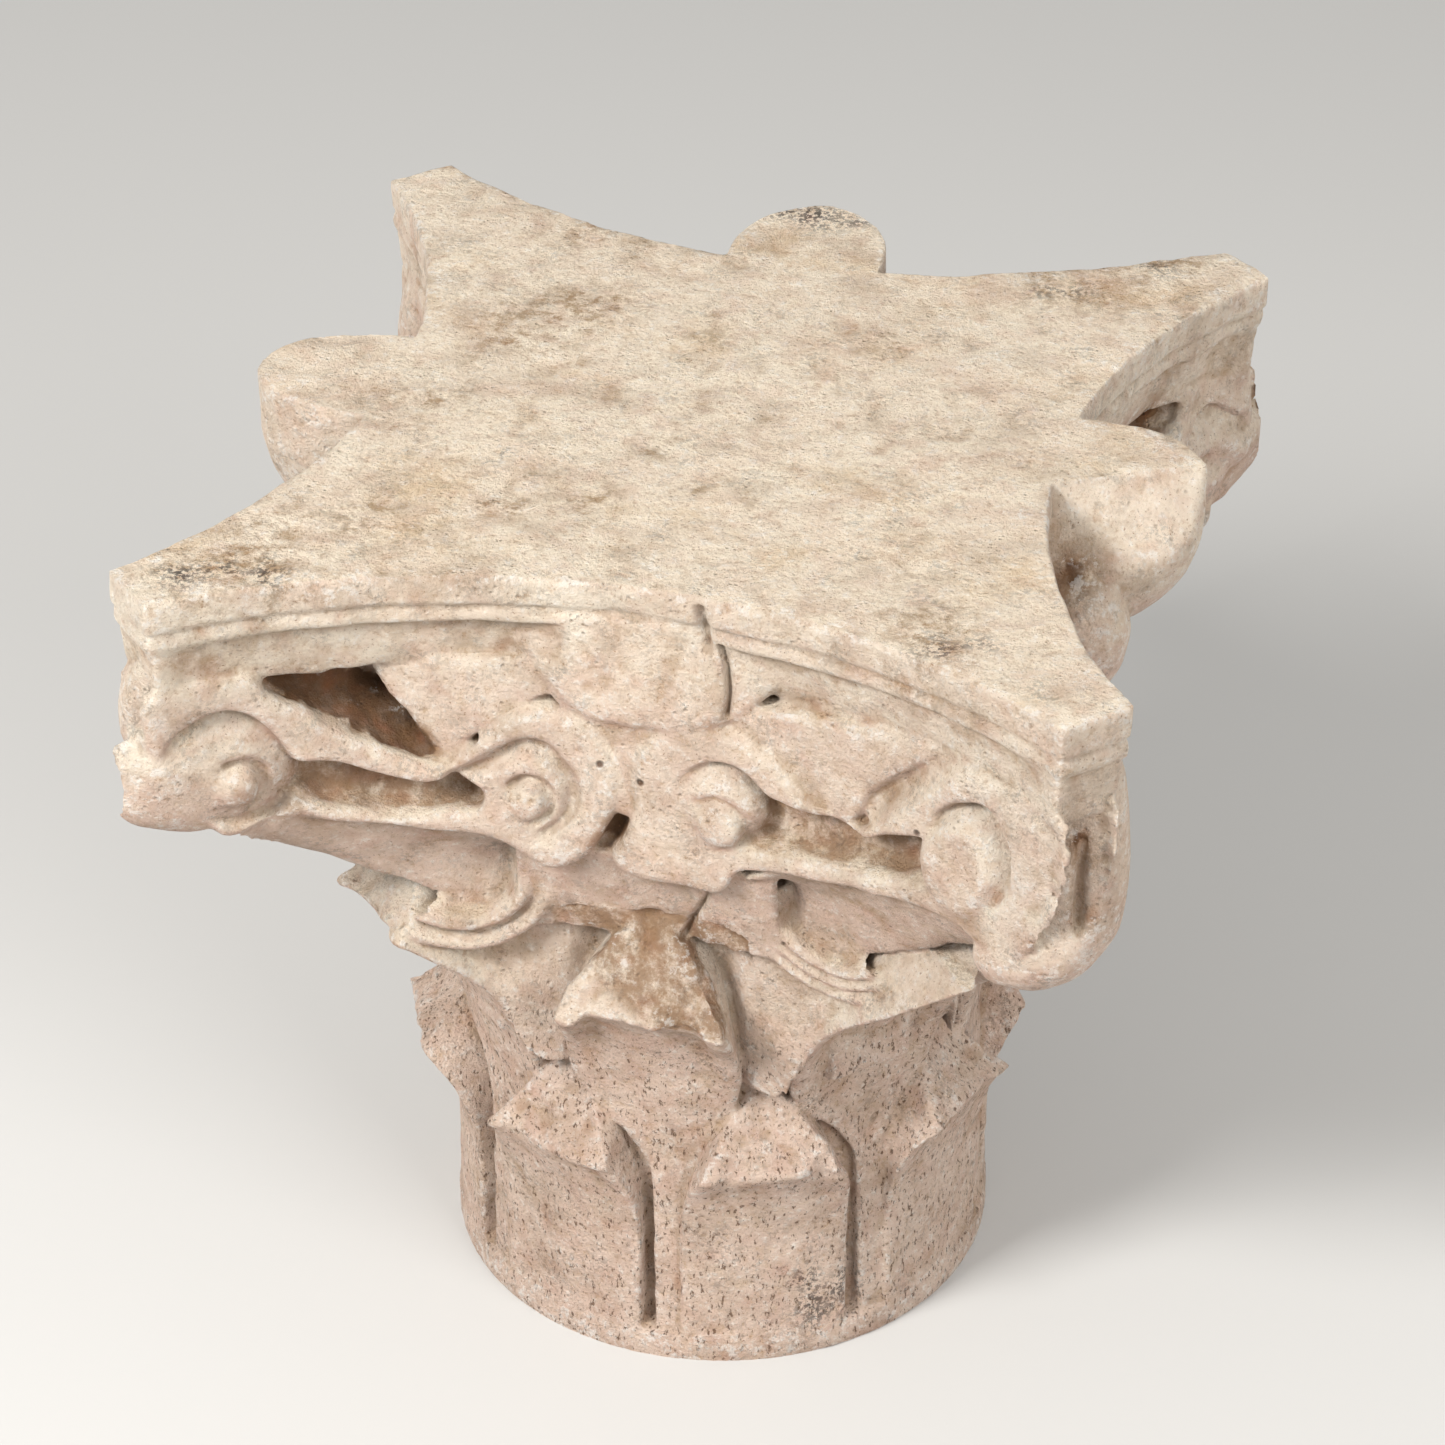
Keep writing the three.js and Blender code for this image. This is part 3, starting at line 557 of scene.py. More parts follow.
# Abacus.
# The slab on top has four hollow sides and cut corners: a plain band, a narrow groove,
# a small bead and a hollow fascia that tucks in to the soffit.
ABACUS_LEVELS = [
    (SOFFIT, 21), (SOFFIT + 10, 17), (SOFFIT + 20, 13.5), (494, 12), (498, 11.5), (499.5, 10),
    (500.5, 4), (502, 2.2), (506, 2), (508, 3), (508.8, 8), (511, 8), (511.8, 1.5), (513, 0.2),
    (526, 0), (529, 0.6), (530, 1.6),
]


def abacus_outline(inset, height):
    reach = CORNER_REACH - inset * 0.3
    half = CORNER_HALF_WIDTH - inset * 0.15
    half_chord = (reach - half) / math.sqrt(2)
    rise = (reach + half) / math.sqrt(2) - (SIDE_HALF_DEPTH - inset)
    radius = (half_chord**2 + rise**2) / (2 * rise)
    centre = SIDE_HALF_DEPTH - inset + radius
    span = math.asin(half_chord / radius)
    lean = span * np.linspace(-1, 1, 70)
    corner = np.linspace(0, 1, 12)[1:-1]
    x = radius * np.sin(lean)
    y = radius * np.cos(lean) - centre
    ring = []
    for face in range(4):
        turn = face * math.pi / 2
        spots = np.stack([x * math.cos(turn) - y * math.sin(turn), x * math.sin(turn) + y * math.cos(turn)], 1)
        end = spots[-1]
        turn += math.pi / 2
        start = np.array([x[0] * math.cos(turn) - y[0] * math.sin(turn), x[0] * math.sin(turn) + y[0] * math.cos(turn)])
        ring += [spots, end + (start - end) * corner[:, None]]
    flat = np.concatenate(ring)
    return np.concatenate([flat, np.full((len(flat), 1), height)], 1)


def capped_stack(name, rings):
    """Closed body through a stack of rings of points in millimetres."""
    count = len(rings[0])
    faces = []
    for level in range(len(rings) - 1):
        a = level * count + np.arange(count)
        b = level * count + (np.arange(count) + 1) % count
        faces += np.stack([a, b, b + count, a + count], -1).tolist()
    for level, turn in ((0, -1), (len(rings) - 1, 1)):
        flat = [[Vector((p[0], p[1], 0)) for p in rings[level]]]
        for triangle in geometry.tessellate_polygon(flat):
            faces.append([level * count + k for k in triangle][::turn])
    mesh = bpy.data.meshes.new(name)
    mesh.from_pydata((np.concatenate(rings) * MM).tolist(), [], faces)
    piece = bpy.data.objects.new(name, mesh)
    bpy.context.collection.objects.link(piece)
    return keep(piece, name)


capped_stack("abacus", [abacus_outline(inset, height) for height, inset in ABACUS_LEVELS])

# Bosses of the abacus.
# A flower stood in the middle of each side. Three are left as smooth worn lumps, flat on top
# and rounded under; the front one has broken off and left a rough scar.
BOSS_REACH = 261
BOSS_CENTRE = 196
BOSS_HALF_WIDTH = 45
BOSS_BELLY = 500
BOSS_BOTTOM = 433


def boss(face):
    bpy.ops.object.select_all(action="DESELECT")
    bpy.ops.mesh.primitive_uv_sphere_add(segments=64, ring_count=40, radius=1)
    piece = bpy.context.object
    turn = face * math.pi / 2
    spots = np.empty(len(piece.data.vertices) * 3)
    piece.data.vertices.foreach_get("co", spots)
    x, y, z = spots.reshape(-1, 3).T
    spread = np.maximum(np.hypot(x, y), 1e-4)
    above = z > 0
    wide = np.where(above, np.minimum(1, spread * 1.35) / spread, 1)
    across = x * wide * BOSS_HALF_WIDTH
    reach = BOSS_CENTRE - y * wide * (BOSS_REACH - BOSS_CENTRE)
    high = BOSS_BELLY + np.where(above, np.minimum(1, z * 1.6) * (HEIGHT - BOSS_BELLY), z * (BOSS_BELLY - BOSS_BOTTOM))
    if face == 1:
        near_edge = np.interp(reach, [182, 209, 226, 242, 262], [-30, -12, -2, 6, 12])
        raised = np.clip((high - BOSS_BELLY + 6) / 34, 0, 1) ** 0.7
        across = np.where(across < near_edge, across + (near_edge - across) * raised * 0.9, across)
    placed = polar(turn, reach, high) + polar(turn + math.pi / 2, across, 0)
    piece.data.vertices.foreach_set("co", (placed * MM).ravel())
    return keep(piece, f"boss {face}")


for face in (1, 2, 3):
    boss(face)
scar_s, scar_z = np.meshgrid(np.arange(-84, 88.1, 1.5), np.arange(436, 528, 1.5))
scar = plate(np.full(scar_s.shape, float(DEEP)), scar_s, scar_z, [
    (-76, 502), (-56, 470), (-30, 446), (0, 441), (30, 445), (60, 462), (80, 496), (48, 516),
    (6, 523), (-38, 517),
], 1, 6)
scar = np.where(scar > DEEP, scar - 0.34 * np.maximum(np.abs(scar_s - 2) - 38, 0), scar)
carve("boss scar", 0, scar_s, scar_z, scar)

# The block.
# All of it is one stone, so the carved parts are grown together, and the arrises are then
# rounded and chipped, the breaks roughened and the surface pitted by weather.
VOXEL = 1.6 * MM
bpy.ops.object.select_all(action="DESELECT")
for piece in parts:
    piece.select_set(True)
capital = parts[0]
bpy.context.view_layer.objects.active = capital
bpy.ops.object.join()
capital.name = "carved_capital"
capital.data.name = "carved_capital"
bpy.ops.object.mode_set(mode="EDIT")
bpy.ops.mesh.select_all(action="SELECT")
bpy.ops.mesh.normals_make_consistent(inside=False)
bpy.ops.object.mode_set(mode="OBJECT")
remesh = capital.modifiers.new("grow together", "REMESH")
remesh.mode = "VOXEL"
remesh.voxel_size = VOXEL
bpy.ops.object.modifier_apply(modifier=remesh.name)
bpy.ops.object.mode_set(mode="EDIT")
bpy.ops.mesh.select_all(action="SELECT")
bpy.ops.mesh.separate(type="LOOSE")
bpy.ops.object.mode_set(mode="OBJECT")
pieces = sorted(bpy.context.selected_objects, key=lambda one: -len(one.data.polygons))
print("shells", [len(one.data.polygons) for one in pieces][:12])
for inner in pieces[1:]:
    bpy.data.objects.remove(inner)
capital = pieces[0]
capital.name = "carved_capital"
bpy.context.view_layer.objects.active = capital
mesh = capital.data
mesh.name = "carved_capital"
print("block", len(mesh.vertices), "points", len(mesh.polygons), "faces")


def read_points():
    flat = np.empty(len(mesh.vertices) * 3)
    mesh.vertices.foreach_get("co", flat)
    return flat.reshape(-1, 3) / MM


def write_points(points):
    mesh.vertices.foreach_set("co", (points * MM).ravel())
    mesh.update()


def facing_out():
    flat = np.empty(len(mesh.vertices) * 3)
    mesh.vertices.foreach_get("normal", flat)
    return flat.reshape(-1, 3)


def neighbours():
    flat = np.empty(len(mesh.edges) * 2, np.int32)
    mesh.edges.foreach_get("vertices", flat)
    pairs = flat.reshape(-1, 2)
    ends = np.concatenate([pairs[:, 0], pairs[:, 1]])
    others = np.concatenate([pairs[:, 1], pairs[:, 0]])
    return ends, others, np.maximum(np.bincount(ends, minlength=len(mesh.vertices)), 1)


def relaxed(points, links, rounds):
    ends, others, count = links
    for _ in range(rounds):
        points = np.stack([
            np.bincount(ends, points[others, k], len(points)) for k in range(points.shape[1])
        ], 1) / count[:, None]
    return points


links = neighbours()
points = relaxed(read_points(), links, 1)
write_points(points)
normals = facing_out()
angle = np.arctan2(points[:, 0], -points[:, 1])
from_axis = np.hypot(points[:, 0], points[:, 1])
FRONT_STUB = len(LOWER_BREAKS)
fresh = np.zeros(len(points))
for number, (turn, reach, height, lean, widths) in enumerate(breaks):
    aside = np.abs((angle - turn + math.pi) % (2 * math.pi) - math.pi) * from_axis
    past = (from_axis - reach) * math.sin(lean) + (points[:, 2] - height) * math.cos(lean)
    half = np.interp(points[:, 2], *zip(*widths))
    near = (np.abs(past) < 3) & (aside < half) & (np.abs(points[:, 2] - height) < 62) & (from_axis > 152)
    fresh[near] = 0.9
fresh = relaxed(fresh[:, None], links, 4)[:, 0]
soft = relaxed(points, links, 5)
bulge = -np.einsum("ij,ij->i", soft - points, normals)
arris = np.clip((bulge - 0.3) / 1.0, 0, 1)
chipped = np.clip(lattice(points, 17, 3) * 1.7 + lattice(points, 7, 33) * 0.9, 0, 1)
points = points + (soft - points) * (arris * (0.15 + 0.85 * chipped))[:, None]
softer = relaxed(points, links, 40)
knock = np.clip(lattice(points, 27, 4) * 3.6 - 1.5 + lattice(points, 9, 34), 0, 1)
knock *= np.clip((bulge - 0.5) / 1.2, 0, 1)
points = points + (softer - points) * knock[:, None] * 0.85


CHANNEL = [
    (52, 412), (62, 420), (88, 417), (122, 412), (160, 425), (163, 398), (133, 384), (88, 378), (56, 380),
]
LEFT_CHANNEL = [
    (-180, 421), (-133, 411), (-98, 408), (-78, 398), (-84, 379), (-124, 377), (-162, 388), (-180, 400),
]
HOLE_SLOPE = [
    (-190, 478), (-165, 478), (-140, 450), (-110, 428), (-104, 402), (-136, 420), (-169, 448),
]


def caked_at(points):
    """Where old dirt is caked on: in the sunk channels and on the slopes of the deep holes."""
    brown_share = np.zeros(len(points))
    z = points[:, 2]
    for face in range(4):
        s, out, mine = from_field(face, points)
        mine &= (z > 370) & (z < 480)
        s, out, z_here = s[mine], out[mine], z[mine]
        right = inside(LEFT_CHANNEL, -s, z_here) if face == 1 else inside(CHANNEL, s, z_here)
        left = inside(LEFT_CHANNEL, s, z_here) if face == 0 else inside(CHANNEL, -s, z_here)
        share = np.clip((-out - 5) / 5, 0, 1) * (out > -34) * 0.8
        share *= np.clip(np.maximum(right, left) / 4 + 1, 0, 1)
        if face < 2:
            slope = inside(HOLE_SLOPE, s if face == 0 else -s, z_here)
            share = np.maximum(share, np.clip((-out - 6) / 5, 0, 1) * np.clip(slope / 4 + 1, 0, 1))
        brown_share[mine] = share
    turn, reach, height, lean, widths = breaks[FRONT_STUB]
    from_axis = np.hypot(points[:, 0], points[:, 1])
    past = (from_axis - reach) * math.sin(lean) + (z - height) * math.cos(lean)
    stub = (np.abs(past) < 9) & (np.abs(points[:, 0]) < 54) & (z > 254) & (z < 312) & (points[:, 1] < 0)
    light = np.clip((points[:, 0] + 22) / 14 + (z - 268) / 8, 0, 1)
    return np.maximum(brown_share, stub * light * 0.86)


# Cracks and wear on the front, where the boss broke off.
CRACKS = [
    ([(35, 522), (37, 509), (38, 497)], 2.6, 5), ([(45, 500), (48, 488), (49, 472), (48, 458)], 1.5, 5),
    ([(35, 346), (31, 332), (23, 314), (17, 298)], 1.5, 4),
]
s, out, mine = from_field(0, points)
inward = np.zeros(len(points))
for line, width, cut in CRACKS:
    inward = np.maximum(inward, cut * np.exp(-(beside(line, s, points[:, 2]) / width) ** 2))
worn = np.exp(-(((s + 4) / 46) ** 4) - ((points[:, 2] - 492) / 34) ** 4)
inward += worn * (1.2 + 2.2 * lattice(points, 17, 21) + 1.4 * lattice(points, 9, 22))
inward = np.where(mine & (out > -40), inward, 0)
seam = np.hypot(points[:, 0] - 243, points[:, 1] + 242) / np.interp(points[:, 2], [392, 412, 462], [2, 4, 2.5])
inward += 12 * np.exp(-(seam**2)) * np.clip(4 - np.abs(points[:, 2] - 427) / 9, 0, 1)

# Weathered skin: broad unevenness, frost roughness, rough breaks, and the ruined corner.
top = np.clip((normals[:, 2] - 0.8) / 0.15, 0, 1) * (points[:, 2] > 500)
corner_ruin = np.clip(1.6 - np.linalg.norm(points - [240, 225, 440], axis=1) / 70, 0, 1)
bed = points[:, 2] < 1.5
swell = 0.9 * lattice(points, 52, 5) + 0.8 * lattice(points, 22, 6) + 0.6 * lattice(points, 11, 7)
swell += top * (0.9 * lattice(points, 12, 8) - 0.5) - inward
swell += fresh * (3.2 * lattice(points, 25, 12) + 2.4 * lattice(points, 13, 13) + 1.6 * lattice(points, 8, 14) - 0.6)
swell += caked_at(points) * (2.6 * lattice(points, 15, 61) + 1.8 * lattice(points, 8, 62) - 0.5)
swell += corner_ruin * (5 * lattice(points, 30, 15) + 3 * lattice(points, 14, 16) - 2)
hole_in_ruin = np.linalg.norm((points - [254, 180, 425]) / [12, 9, 10], axis=1)
swell -= 9 * np.clip(1.4 - hole_in_ruin, 0, 1)
swell = np.where(bed, 0, swell)
points = points + normals * swell[:, None]
points[:, :2] = np.clip(points[:, :2], -261.3, 261.3)
points[:, 2] = np.clip(points[:, 2], 0, 529.9)
points[bed, 2] = 0
write_points(points)

thin = capital.modifiers.new("thin out", "DECIMATE")
thin.ratio = min(1, 196000 / (2 * len(mesh.polygons)))
bpy.ops.object.modifier_apply(modifier=thin.name)
mesh = capital.data
bpy.ops.object.select_all(action="DESELECT")
capital.select_set(True)
bpy.context.view_layer.objects.active = capital
bpy.ops.object.shade_smooth_by_angle(angle=math.radians(50))
print("capital", len(mesh.vertices), "points", len(mesh.polygons), "faces")

points = read_points()
points[:, :2] = np.clip(points[:, :2], -261.3, 261.3)
points[:, 2] = np.clip(points[:, 2], 0, 529.9)
write_points(points)

# Shelter of each point: how much of the sky its skin sees, and how hollow it lies.
links = neighbours()
normals = facing_out()
tree = BVHTree.FromObject(capital, bpy.context.evaluated_depsgraph_get())
RAYS = 20
turn = np.arange(RAYS) * math.pi * (3 - math.sqrt(5))
lift = 1 - (np.arange(RAYS) + 0.5) / RAYS
rays = np.stack([np.cos(turn) * np.sqrt(1 - lift**2), np.sin(turn) * np.sqrt(1 - lift**2), lift], 1)
reach = 0.11
seen = np.zeros(len(points))
helper = np.where(np.abs(normals[:, 2:]) < 0.9, [[0, 0, 1.0]], [[1.0, 0, 0]])
first = np.cross(helper, normals)
first /= np.maximum(np.linalg.norm(first, axis=1), 1e-6)[:, None]
second = np.cross(normals, first)
start = points * MM + normals * 0.0012
for ray in rays:
    ways = ray[0] * first + ray[1] * second + ray[2] * normals
    for i in range(len(points)):
        hit = tree.ray_cast(start[i], ways[i], reach)
        if hit[3] is None:
            seen[i] += 1
        else:
            seen[i] += hit[3] / reach * 0.6
shelter = 1 - seen / RAYS
shelter = relaxed(shelter[:, None], links, 1)[:, 0]
soft = relaxed(points, links, 6)
hollow = np.einsum("ij,ij->i", soft - points, normals)


def marked(spots, lump, seed):
    """Patches of the given places and radii, their edges broken up by a random field."""
    mask = np.zeros(len(points))
    for x, y, z, wide in spots:
        mask = np.maximum(mask, 1.25 - np.linalg.norm(points - [x, y, z], axis=1) / wide)
    return np.clip(mask + 0.5 * lattice(points, lump, seed), 0, 1) * (mask > -0.2)


BROWN_PATCHES = [
    (-120, 92, 530, 42), (-99, 113, 530, 30), (-131, 61, 530, 30), (-82, -88, 530, 15), (-86, -121, 530, 18),
    (7, -79, 530, 9), (34, -88, 530, 10), (-24, -51, 530, 8), (66, 104, 530, 14), (-94, 178, 530, 18),
    (-33, 80, 530, 12), (-157, -22, 530, 22), (-200, -200, 530, 60), (160, 190, 530, 40), (-150, -150, 530, 34),
    (196, 228, 530, 40), (-130, 190, 530, 26), (150, -190, 530, 34), (-40, -104, 530, 20),
]
BLACK_GROWTH = [
    (-185, -216, 530, 15), (-222, -227, 530, 16), (-206, -216, 530, 9), (160, -201, 530, 12), (180, -191, 530, 9),
    (-4, 250, 530, 22), (-26, 247, 530, 12), (16, 248, 530, 12), (193, 234, 530, 9), (206, 227, 530, 9),
    (160, 190, 530, 9), (138, 184, 530, 8), (-98, -171, 530, 4), (92, -129, 37, 20), (104, -120, 44, 16), (82, -136, 52, 13), (88, -132, 26, 12),
    (-102, -65, 530, 4), (7, -79, 530, 4), (34, -88, 530, 5), (-82, -88, 530, 5),
]
# Painted shade: spots darkened brown around the right boss, in the gap between the front helices and in the slot at the
# right corner.
SHADED_RECESSES = [
    (196, -20, 480, 26), (200, -45, 490, 22), (190, 12, 468, 24), (203, -25, 455, 20), (-15, -170, 374, 16),
    (242, -241, 452, 9), (242, -241, 438, 10), (242, -241, 423, 10), (242, -241, 408, 11),
]
RUST = [(69, -142, 62, 7), (-194, -220, 436, 8), (200, -226, 402, 7), (75, -139, 58, 6)]
# The grime attribute holds the caked dirt of the channels and hole slopes together with the painted shade of the listed
# recess spots.
for name, values in (
    ("shelter", shelter), ("hollow", hollow), ("grime_and_shade", np.maximum(caked_at(points), marked(SHADED_RECESSES, 18, 54))),
    ("brown", marked(BROWN_PATCHES, 14, 51)), ("black", marked(BLACK_GROWTH, 6, 52)), ("rust", marked(RUST, 6, 53)),
):
    layer = mesh.attributes.new(name, "FLOAT", "POINT")
    layer.data.foreach_set("value", values.astype(np.float32))

DRILLED = [(-20, -180, 418), (1, -180, 409), (-9, -180, 403), (98, -192, 411), (154, -210, 424), (46, -183, 392)]

# Limestone.
# A cream stone with pink beds, brown dirt in the hollows, grey and brown growth on top,
# small pits all over and chalk-white bruises on the arrises. Painted light is mixed in: a lighter
# tint as painted highlight on the faces that look up, a pinker, darker tint as painted shade on
# the undersides, and brown to near-black painted shade in the creases, recesses and drilled
# holes, darkest where the skin sees least sky, over the real dirt there.
stone = bpy.data.materials.new("weathered limestone")
stone.use_nodes = True
tree_nodes = stone.node_tree
tree_nodes.nodes.clear()


def node(kind, **values):
    made = tree_nodes.nodes.new(kind)
    for key, value in values.items():
        if key in made.inputs:
            made.inputs[key].default_value = value
        else:
            setattr(made, key, value)
    return made


def link(source, target):
    tree_nodes.links.new(source, target)


def speckle(scale, detail=3.0, stretch=(1, 1, 1), roughness=0.6, offset=(0, 0, 0)):
    moved = node("ShaderNodeMapping")
    moved.inputs["Scale"].default_value = stretch
    moved.inputs["Location"].default_value = offset
    link(place.outputs["Object"], moved.inputs["Vector"])
    made = node("ShaderNodeTexNoise", Scale=scale, Detail=detail, Roughness=roughness)
    link(moved.outputs["Vector"], made.inputs["Vector"])
    return made.outputs["Fac"]


def ramp(value, low, high):
    made = node("ShaderNodeMapRange")
    made.inputs["From Min"].default_value = low
    made.inputs["From Max"].default_value = high
    made.interpolation_type = "SMOOTHSTEP"
    link(value, made.inputs["Value"])
    return made.outputs["Result"]


def maths(kind, a, b):
    made = node("ShaderNodeMath", operation=kind)
    for slot, value in ((0, a), (1, b)):
        if isinstance(value, (int, float)):
            made.inputs[slot].default_value = value
        else:
            link(value, made.inputs[slot])
    return made.outputs["Value"]


def tinted(base, colour, share):
    made = node("ShaderNodeMix", data_type="RGBA")
    made.clamp_factor = True
    if isinstance(share, (int, float)):
        made.inputs["Factor"].default_value = share
    else:
        link(share, made.inputs["Factor"])
    if isinstance(base, tuple):
        made.inputs["A"].default_value = base
    else:
        link(base, made.inputs[6])
    made.inputs[7].default_value = colour
    return made.outputs[2]


def srgb(red, green, blue):
    return tuple(((c / 255 + 0.055) / 1.055) ** 2.4 if c > 10 else c / 3295 for c in (red, green, blue)) + (1,)


place = node("ShaderNodeTexCoord")
sheltered = node("ShaderNodeAttribute", attribute_name="shelter").outputs["Fac"]
hollowed = node("ShaderNodeAttribute", attribute_name="hollow").outputs["Fac"]
facing = node("ShaderNodeNewGeometry")
parted = node("ShaderNodeSeparateXYZ")
link(facing.outputs["Normal"], parted.inputs["Vector"])
upward = parted.outputs["Z"]

brown = node("ShaderNodeAttribute", attribute_name="brown").outputs["Fac"]
black = node("ShaderNodeAttribute", attribute_name="black").outputs["Fac"]
rust = node("ShaderNodeAttribute", attribute_name="rust").outputs["Fac"]
soiled_and_shaded = node("ShaderNodeAttribute", attribute_name="grime_and_shade").outputs["Fac"]
where_low = node("ShaderNodeSeparateXYZ")
link(place.outputs["Object"], where_low.inputs["Vector"])
# level marks the faces that look up; it drives a painted highlight and the tan patches below.
level = ramp(upward, 0.7, 0.95)
# under marks the faces that look down below the abacus; it drives a painted shade below.
under = ramp(upward, 0.35, -0.4)
under = maths("MULTIPLY", under, ramp(where_low.outputs["Z"], 0.48, 0.455))
low_down = ramp(where_low.outputs["Z"], 0.27, 0.2)
grain = speckle(190, 7, roughness=0.74, offset=(4, 4, 4))
pebbled = speckle(85, 6, roughness=0.7, offset=(6, 2, 4))


def both(a, b):
    return maths("MULTIPLY", a, b)


colour = srgb(237, 219, 200)
colour = tinted(colour, srgb(249, 236, 217), both(ramp(speckle(11, 7), 0.42, 0.62), 0.85))
colour = tinted(colour, srgb(236, 206, 184), both(ramp(speckle(20, 7, offset=(3, 1, 2)), 0.5, 0.7), 0.6))
# Painted highlight: the faces that look up are tinted a lighter cream, as if lit from above.
colour = tinted(colour, srgb(250, 235, 212), both(level, 0.65))
# Pink tint: low on the drum it is the stone's own bed colour; on the faces that look down under the abacus it is
# painted shade.
colour = tinted(colour, srgb(224, 194, 178), both(maths("MAXIMUM", both(low_down, 0.85), under), 0.75))
tan = both(ramp(speckle(13, 9, roughness=0.78, offset=(1, 7, 3)), 0.5, 0.68), maths("ADD", both(level, 0.55), 0.2))
colour = tinted(colour, srgb(214, 180, 134), both(tan, 0.7))
colour = tinted(colour, srgb(220, 194, 164), both(ramp(pebbled, 0.46, 0.34), 0.3))
colour = tinted(colour, srgb(198, 166, 134), both(ramp(grain, 0.47, 0.33), 0.6))
colour = tinted(colour, srgb(252, 246, 238), both(ramp(grain, 0.53, 0.66), 0.6))
# Brown tint where the skin sees little sky: partly dirt lodged in the hollows, partly painted shade.
dirt_and_shade = both(ramp(sheltered, 0.65, 0.94), ramp(speckle(34, 8, roughness=0.7, offset=(5, 5, 1)), 0.3, 0.55))
colour = tinted(colour, srgb(140, 108, 76), both(dirt_and_shade, 0.75))
# Near-black brown in the most sheltered places: painted shade over the dirt in the deepest hollows.
deep = ramp(sheltered, 0.72, 0.93)
colour = tinted(colour, srgb(78, 47, 27), both(deep, 0.9))
# Brown tint in concave creases: partly dirt, partly painted shade.
crease = both(ramp(hollowed, 0.25, 1.0), ramp(speckle(90, 5, offset=(7, 5, 1)), 0.34, 0.58))
colour = tinted(colour, srgb(172, 138, 100), both(crease, 0.4))
# Brown tint from caked dirt in the channels and on the hole slopes, and painted shade in the recess spots; darkest
# where the mask is full.
brown_share = both(soiled_and_shaded, ramp(speckle(60, 8, roughness=0.75, offset=(2, 3, 9)), 0.34, 0.56))
colour = tinted(colour, srgb(150, 112, 76), both(brown_share, 0.92))
colour = tinted(colour, srgb(106, 74, 48), both(ramp(soiled_and_shaded, 0.84, 1.0), 0.85))
mottled = ramp(speckle(70, 8, roughness=0.78, offset=(2, 7, 3)), 0.44, 0.6)
colour = tinted(colour, srgb(160, 124, 82), both(both(brown, mottled), 0.8))
sooty = ramp(speckle(300, 5, roughness=0.75, offset=(9, 7, 3)), 0.48, 0.54)
colour = tinted(colour, srgb(62, 58, 56), both(both(black, sooty), 0.9))
colour = tinted(colour, srgb(176, 104, 70), both(rust, 0.6))
hairs = ramp(speckle(430, 4, stretch=(1, 1, 0.45), roughness=0.7, offset=(2, 2, 9)), 0.58, 0.64)
hairs = both(hairs, maths("ADD", both(low_down, 0.85), 0.15))
colour = tinted(colour, srgb(112, 84, 62), both(hairs, 0.85))
flecks = ramp(speckle(620, 3, offset=(2, 8, 9)), 0.62, 0.7)
colour = tinted(colour, srgb(150, 110, 78), both(flecks, 0.65))
chalk = both(ramp(hollowed, -0.45, -1.3), ramp(speckle(150, 7, roughness=0.75, offset=(8, 3, 3)), 0.52, 0.6))
colour = tinted(colour, srgb(252, 248, 243), both(chalk, 0.5))

fine = speckle(520, 6, roughness=0.75)
scraped = speckle(360, 4, stretch=(1, 1, 0.25), offset=(1, 4, 4))
pits = node("ShaderNodeTexVoronoi", Scale=190.0)
link(place.outputs["Object"], pits.inputs["Vector"])
pit = ramp(pits.outputs["Distance"], 0.28, 0.04)
pit = both(pit, ramp(speckle(40, 4, offset=(6, 1, 1)), 0.5, 0.6))
relief_height = maths("ADD", both(fine, 0.55), grain)
relief_height = maths("ADD", relief_height, both(pebbled, 0.7))
relief_height = maths("ADD", relief_height, both(scraped, 0.3))
relief_height = maths("SUBTRACT", relief_height, both(pit, 0.5))
relief_height = maths("SUBTRACT", relief_height, both(hairs, 0.3))
colour = tinted(colour, srgb(148, 116, 86), both(pit, 0.3))
# Each drilled hole is only a dent in the bump; its dark brown disc is painted shade for the depth of the hole.
for spot in DRILLED:
    gap = node("ShaderNodeVectorMath", operation="DISTANCE")
    link(place.outputs["Object"], gap.inputs[0])
    gap.inputs[1].default_value = [v * MM for v in spot]
    hole = ramp(gap.outputs["Value"], 0.0028, 0.0012)
    relief_height = maths("SUBTRACT", relief_height, both(hole, 1.2))
    colour = tinted(colour, srgb(92, 62, 40), both(hole, 0.85))
bump = node("ShaderNodeBump", Strength=1.0, Distance=0.0068)
link(relief_height, bump.inputs["Height"])

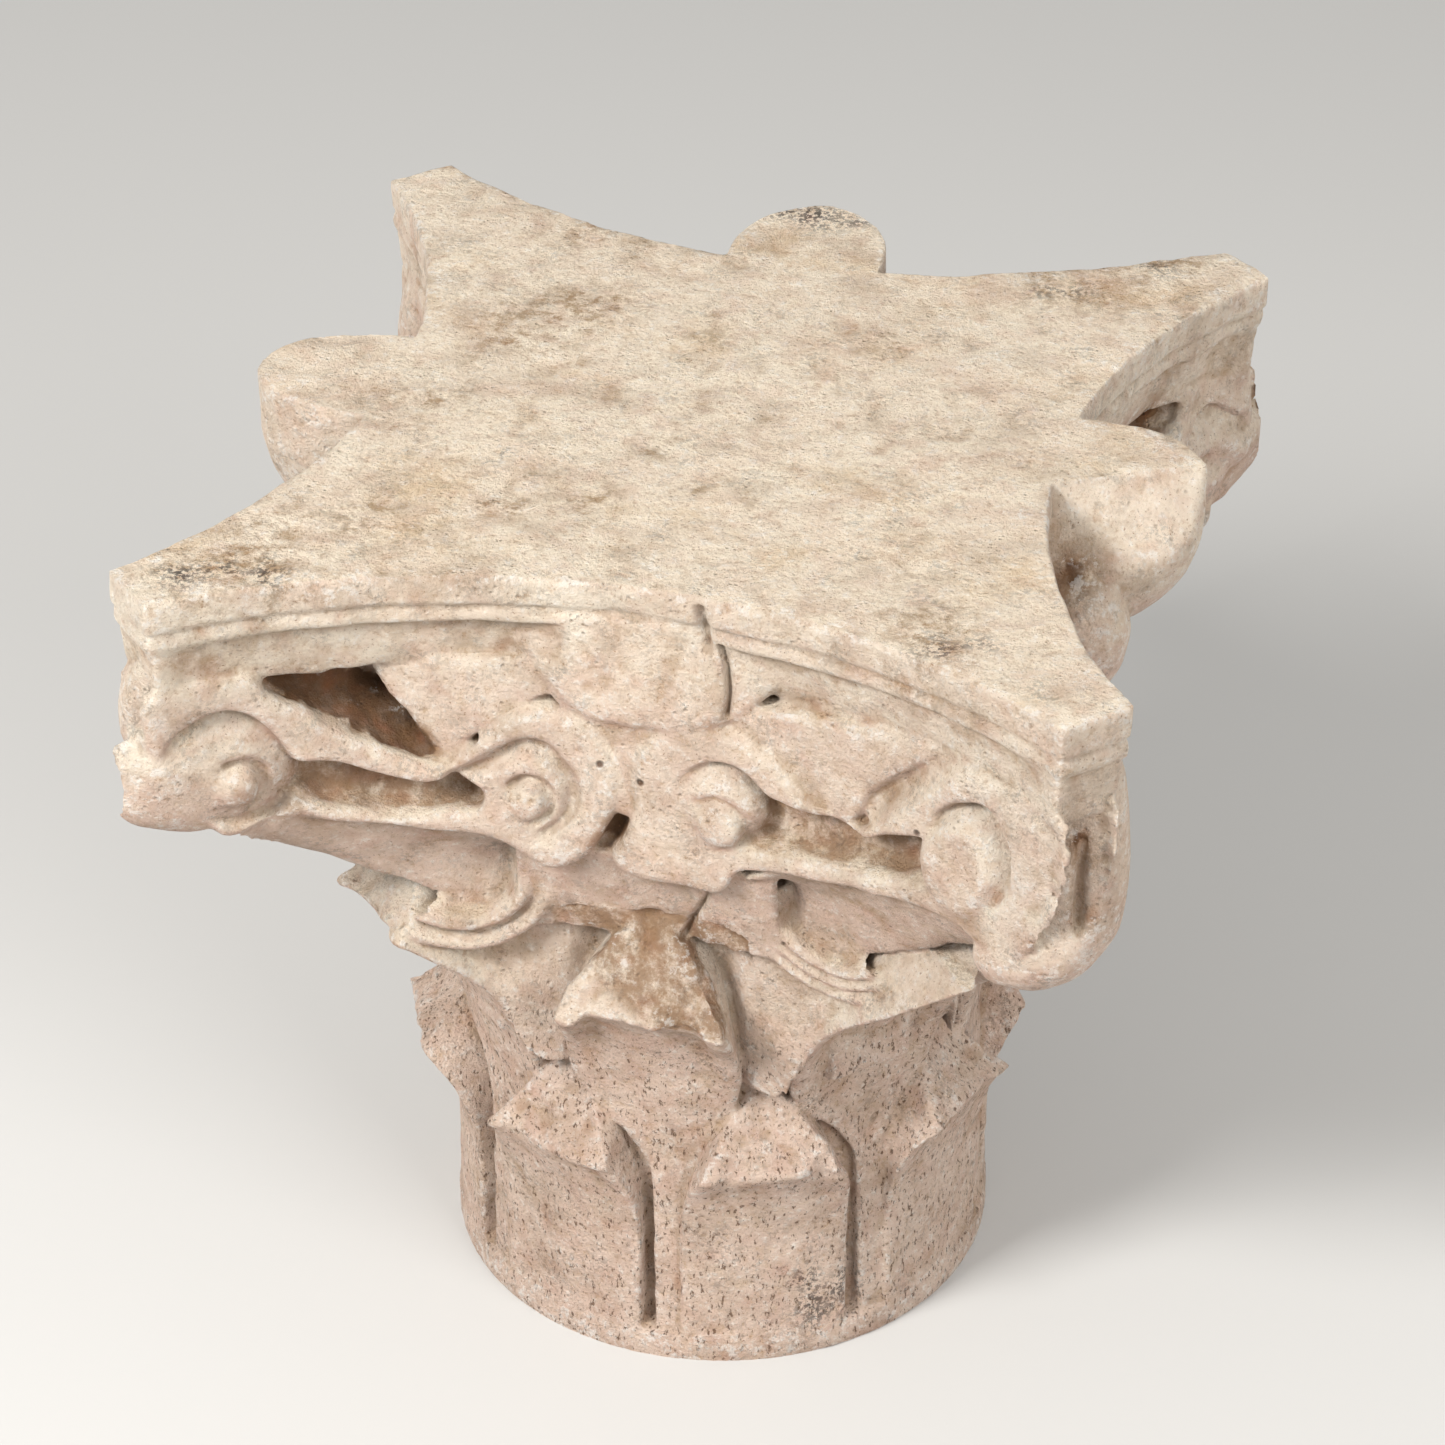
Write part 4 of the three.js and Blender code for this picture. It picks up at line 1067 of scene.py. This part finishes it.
skin = node("ShaderNodeBsdfPrincipled", Roughness=0.92)
skin.inputs["Specular IOR Level"].default_value = 0.25
link(colour, skin.inputs["Base Color"])
link(bump.outputs["Normal"], skin.inputs["Normal"])
end = node("ShaderNodeOutputMaterial")
link(skin.outputs["BSDF"], end.inputs["Surface"])
mesh.materials.clear()
mesh.materials.append(stone)

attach(capital, "root")
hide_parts("corinthian_capital")

# Floor, lights and camera.
bpy.ops.object.select_all(action="DESELECT")
bpy.ops.mesh.primitive_plane_add(size=14, location=(0, 0, 0))
floor = bpy.context.object
floor.name = "floor"
paint = bpy.data.materials.new("pale floor")
paint.use_nodes = True
paint.node_tree.nodes["Principled BSDF"].inputs["Base Color"].default_value = (0.46, 0.455, 0.445, 1)
paint.node_tree.nodes["Principled BSDF"].inputs["Roughness"].default_value = 0.9
floor.data.materials.append(paint)

world = bpy.data.worlds.new("studio")
bpy.context.scene.world = world
world.use_nodes = True
world.node_tree.nodes["Background"].inputs["Color"].default_value = (1, 0.99, 0.97, 1)
world.node_tree.nodes["Background"].inputs["Strength"].default_value = 0.67


def soft_light(name, place, size, power):
    lamp = bpy.data.lights.new(name, "AREA")
    lamp.size = size
    lamp.energy = power
    lamp.color = (1, 0.985, 0.96)
    shown = bpy.data.objects.new(name, lamp)
    shown.location = place
    shown.rotation_euler = (Vector((0, 0, 0.3)) - Vector(place)).to_track_quat("-Z", "Y").to_euler()
    bpy.context.scene.collection.objects.link(shown)


soft_light("key", (-1.7, -2.25, 2.5), 1.0, 184)
soft_light("fill", (2.3, -1.8, 1.9), 1.8, 86)

AZIMUTH = math.radians(14.0876)
ELEVATION = math.radians(32.9315)
DISTANCE = 2.4058
target = Vector((0, 0, 0.3334))
view = Vector((
    math.sin(AZIMUTH) * math.cos(ELEVATION), -math.cos(AZIMUTH) * math.cos(ELEVATION), math.sin(ELEVATION)
))
lens = bpy.data.cameras.new("camera")
lens.sensor_fit = "HORIZONTAL"
lens.sensor_width = 36
lens.lens = 36 * 4289.58 / 1445
camera = bpy.data.objects.new("camera", lens)
camera.location = target + view * DISTANCE
camera.rotation_euler = view.to_track_quat("Z", "Y").to_euler()
bpy.context.scene.collection.objects.link(camera)
bpy.context.scene.camera = camera
bpy.context.scene.view_settings.view_transform = "Standard"
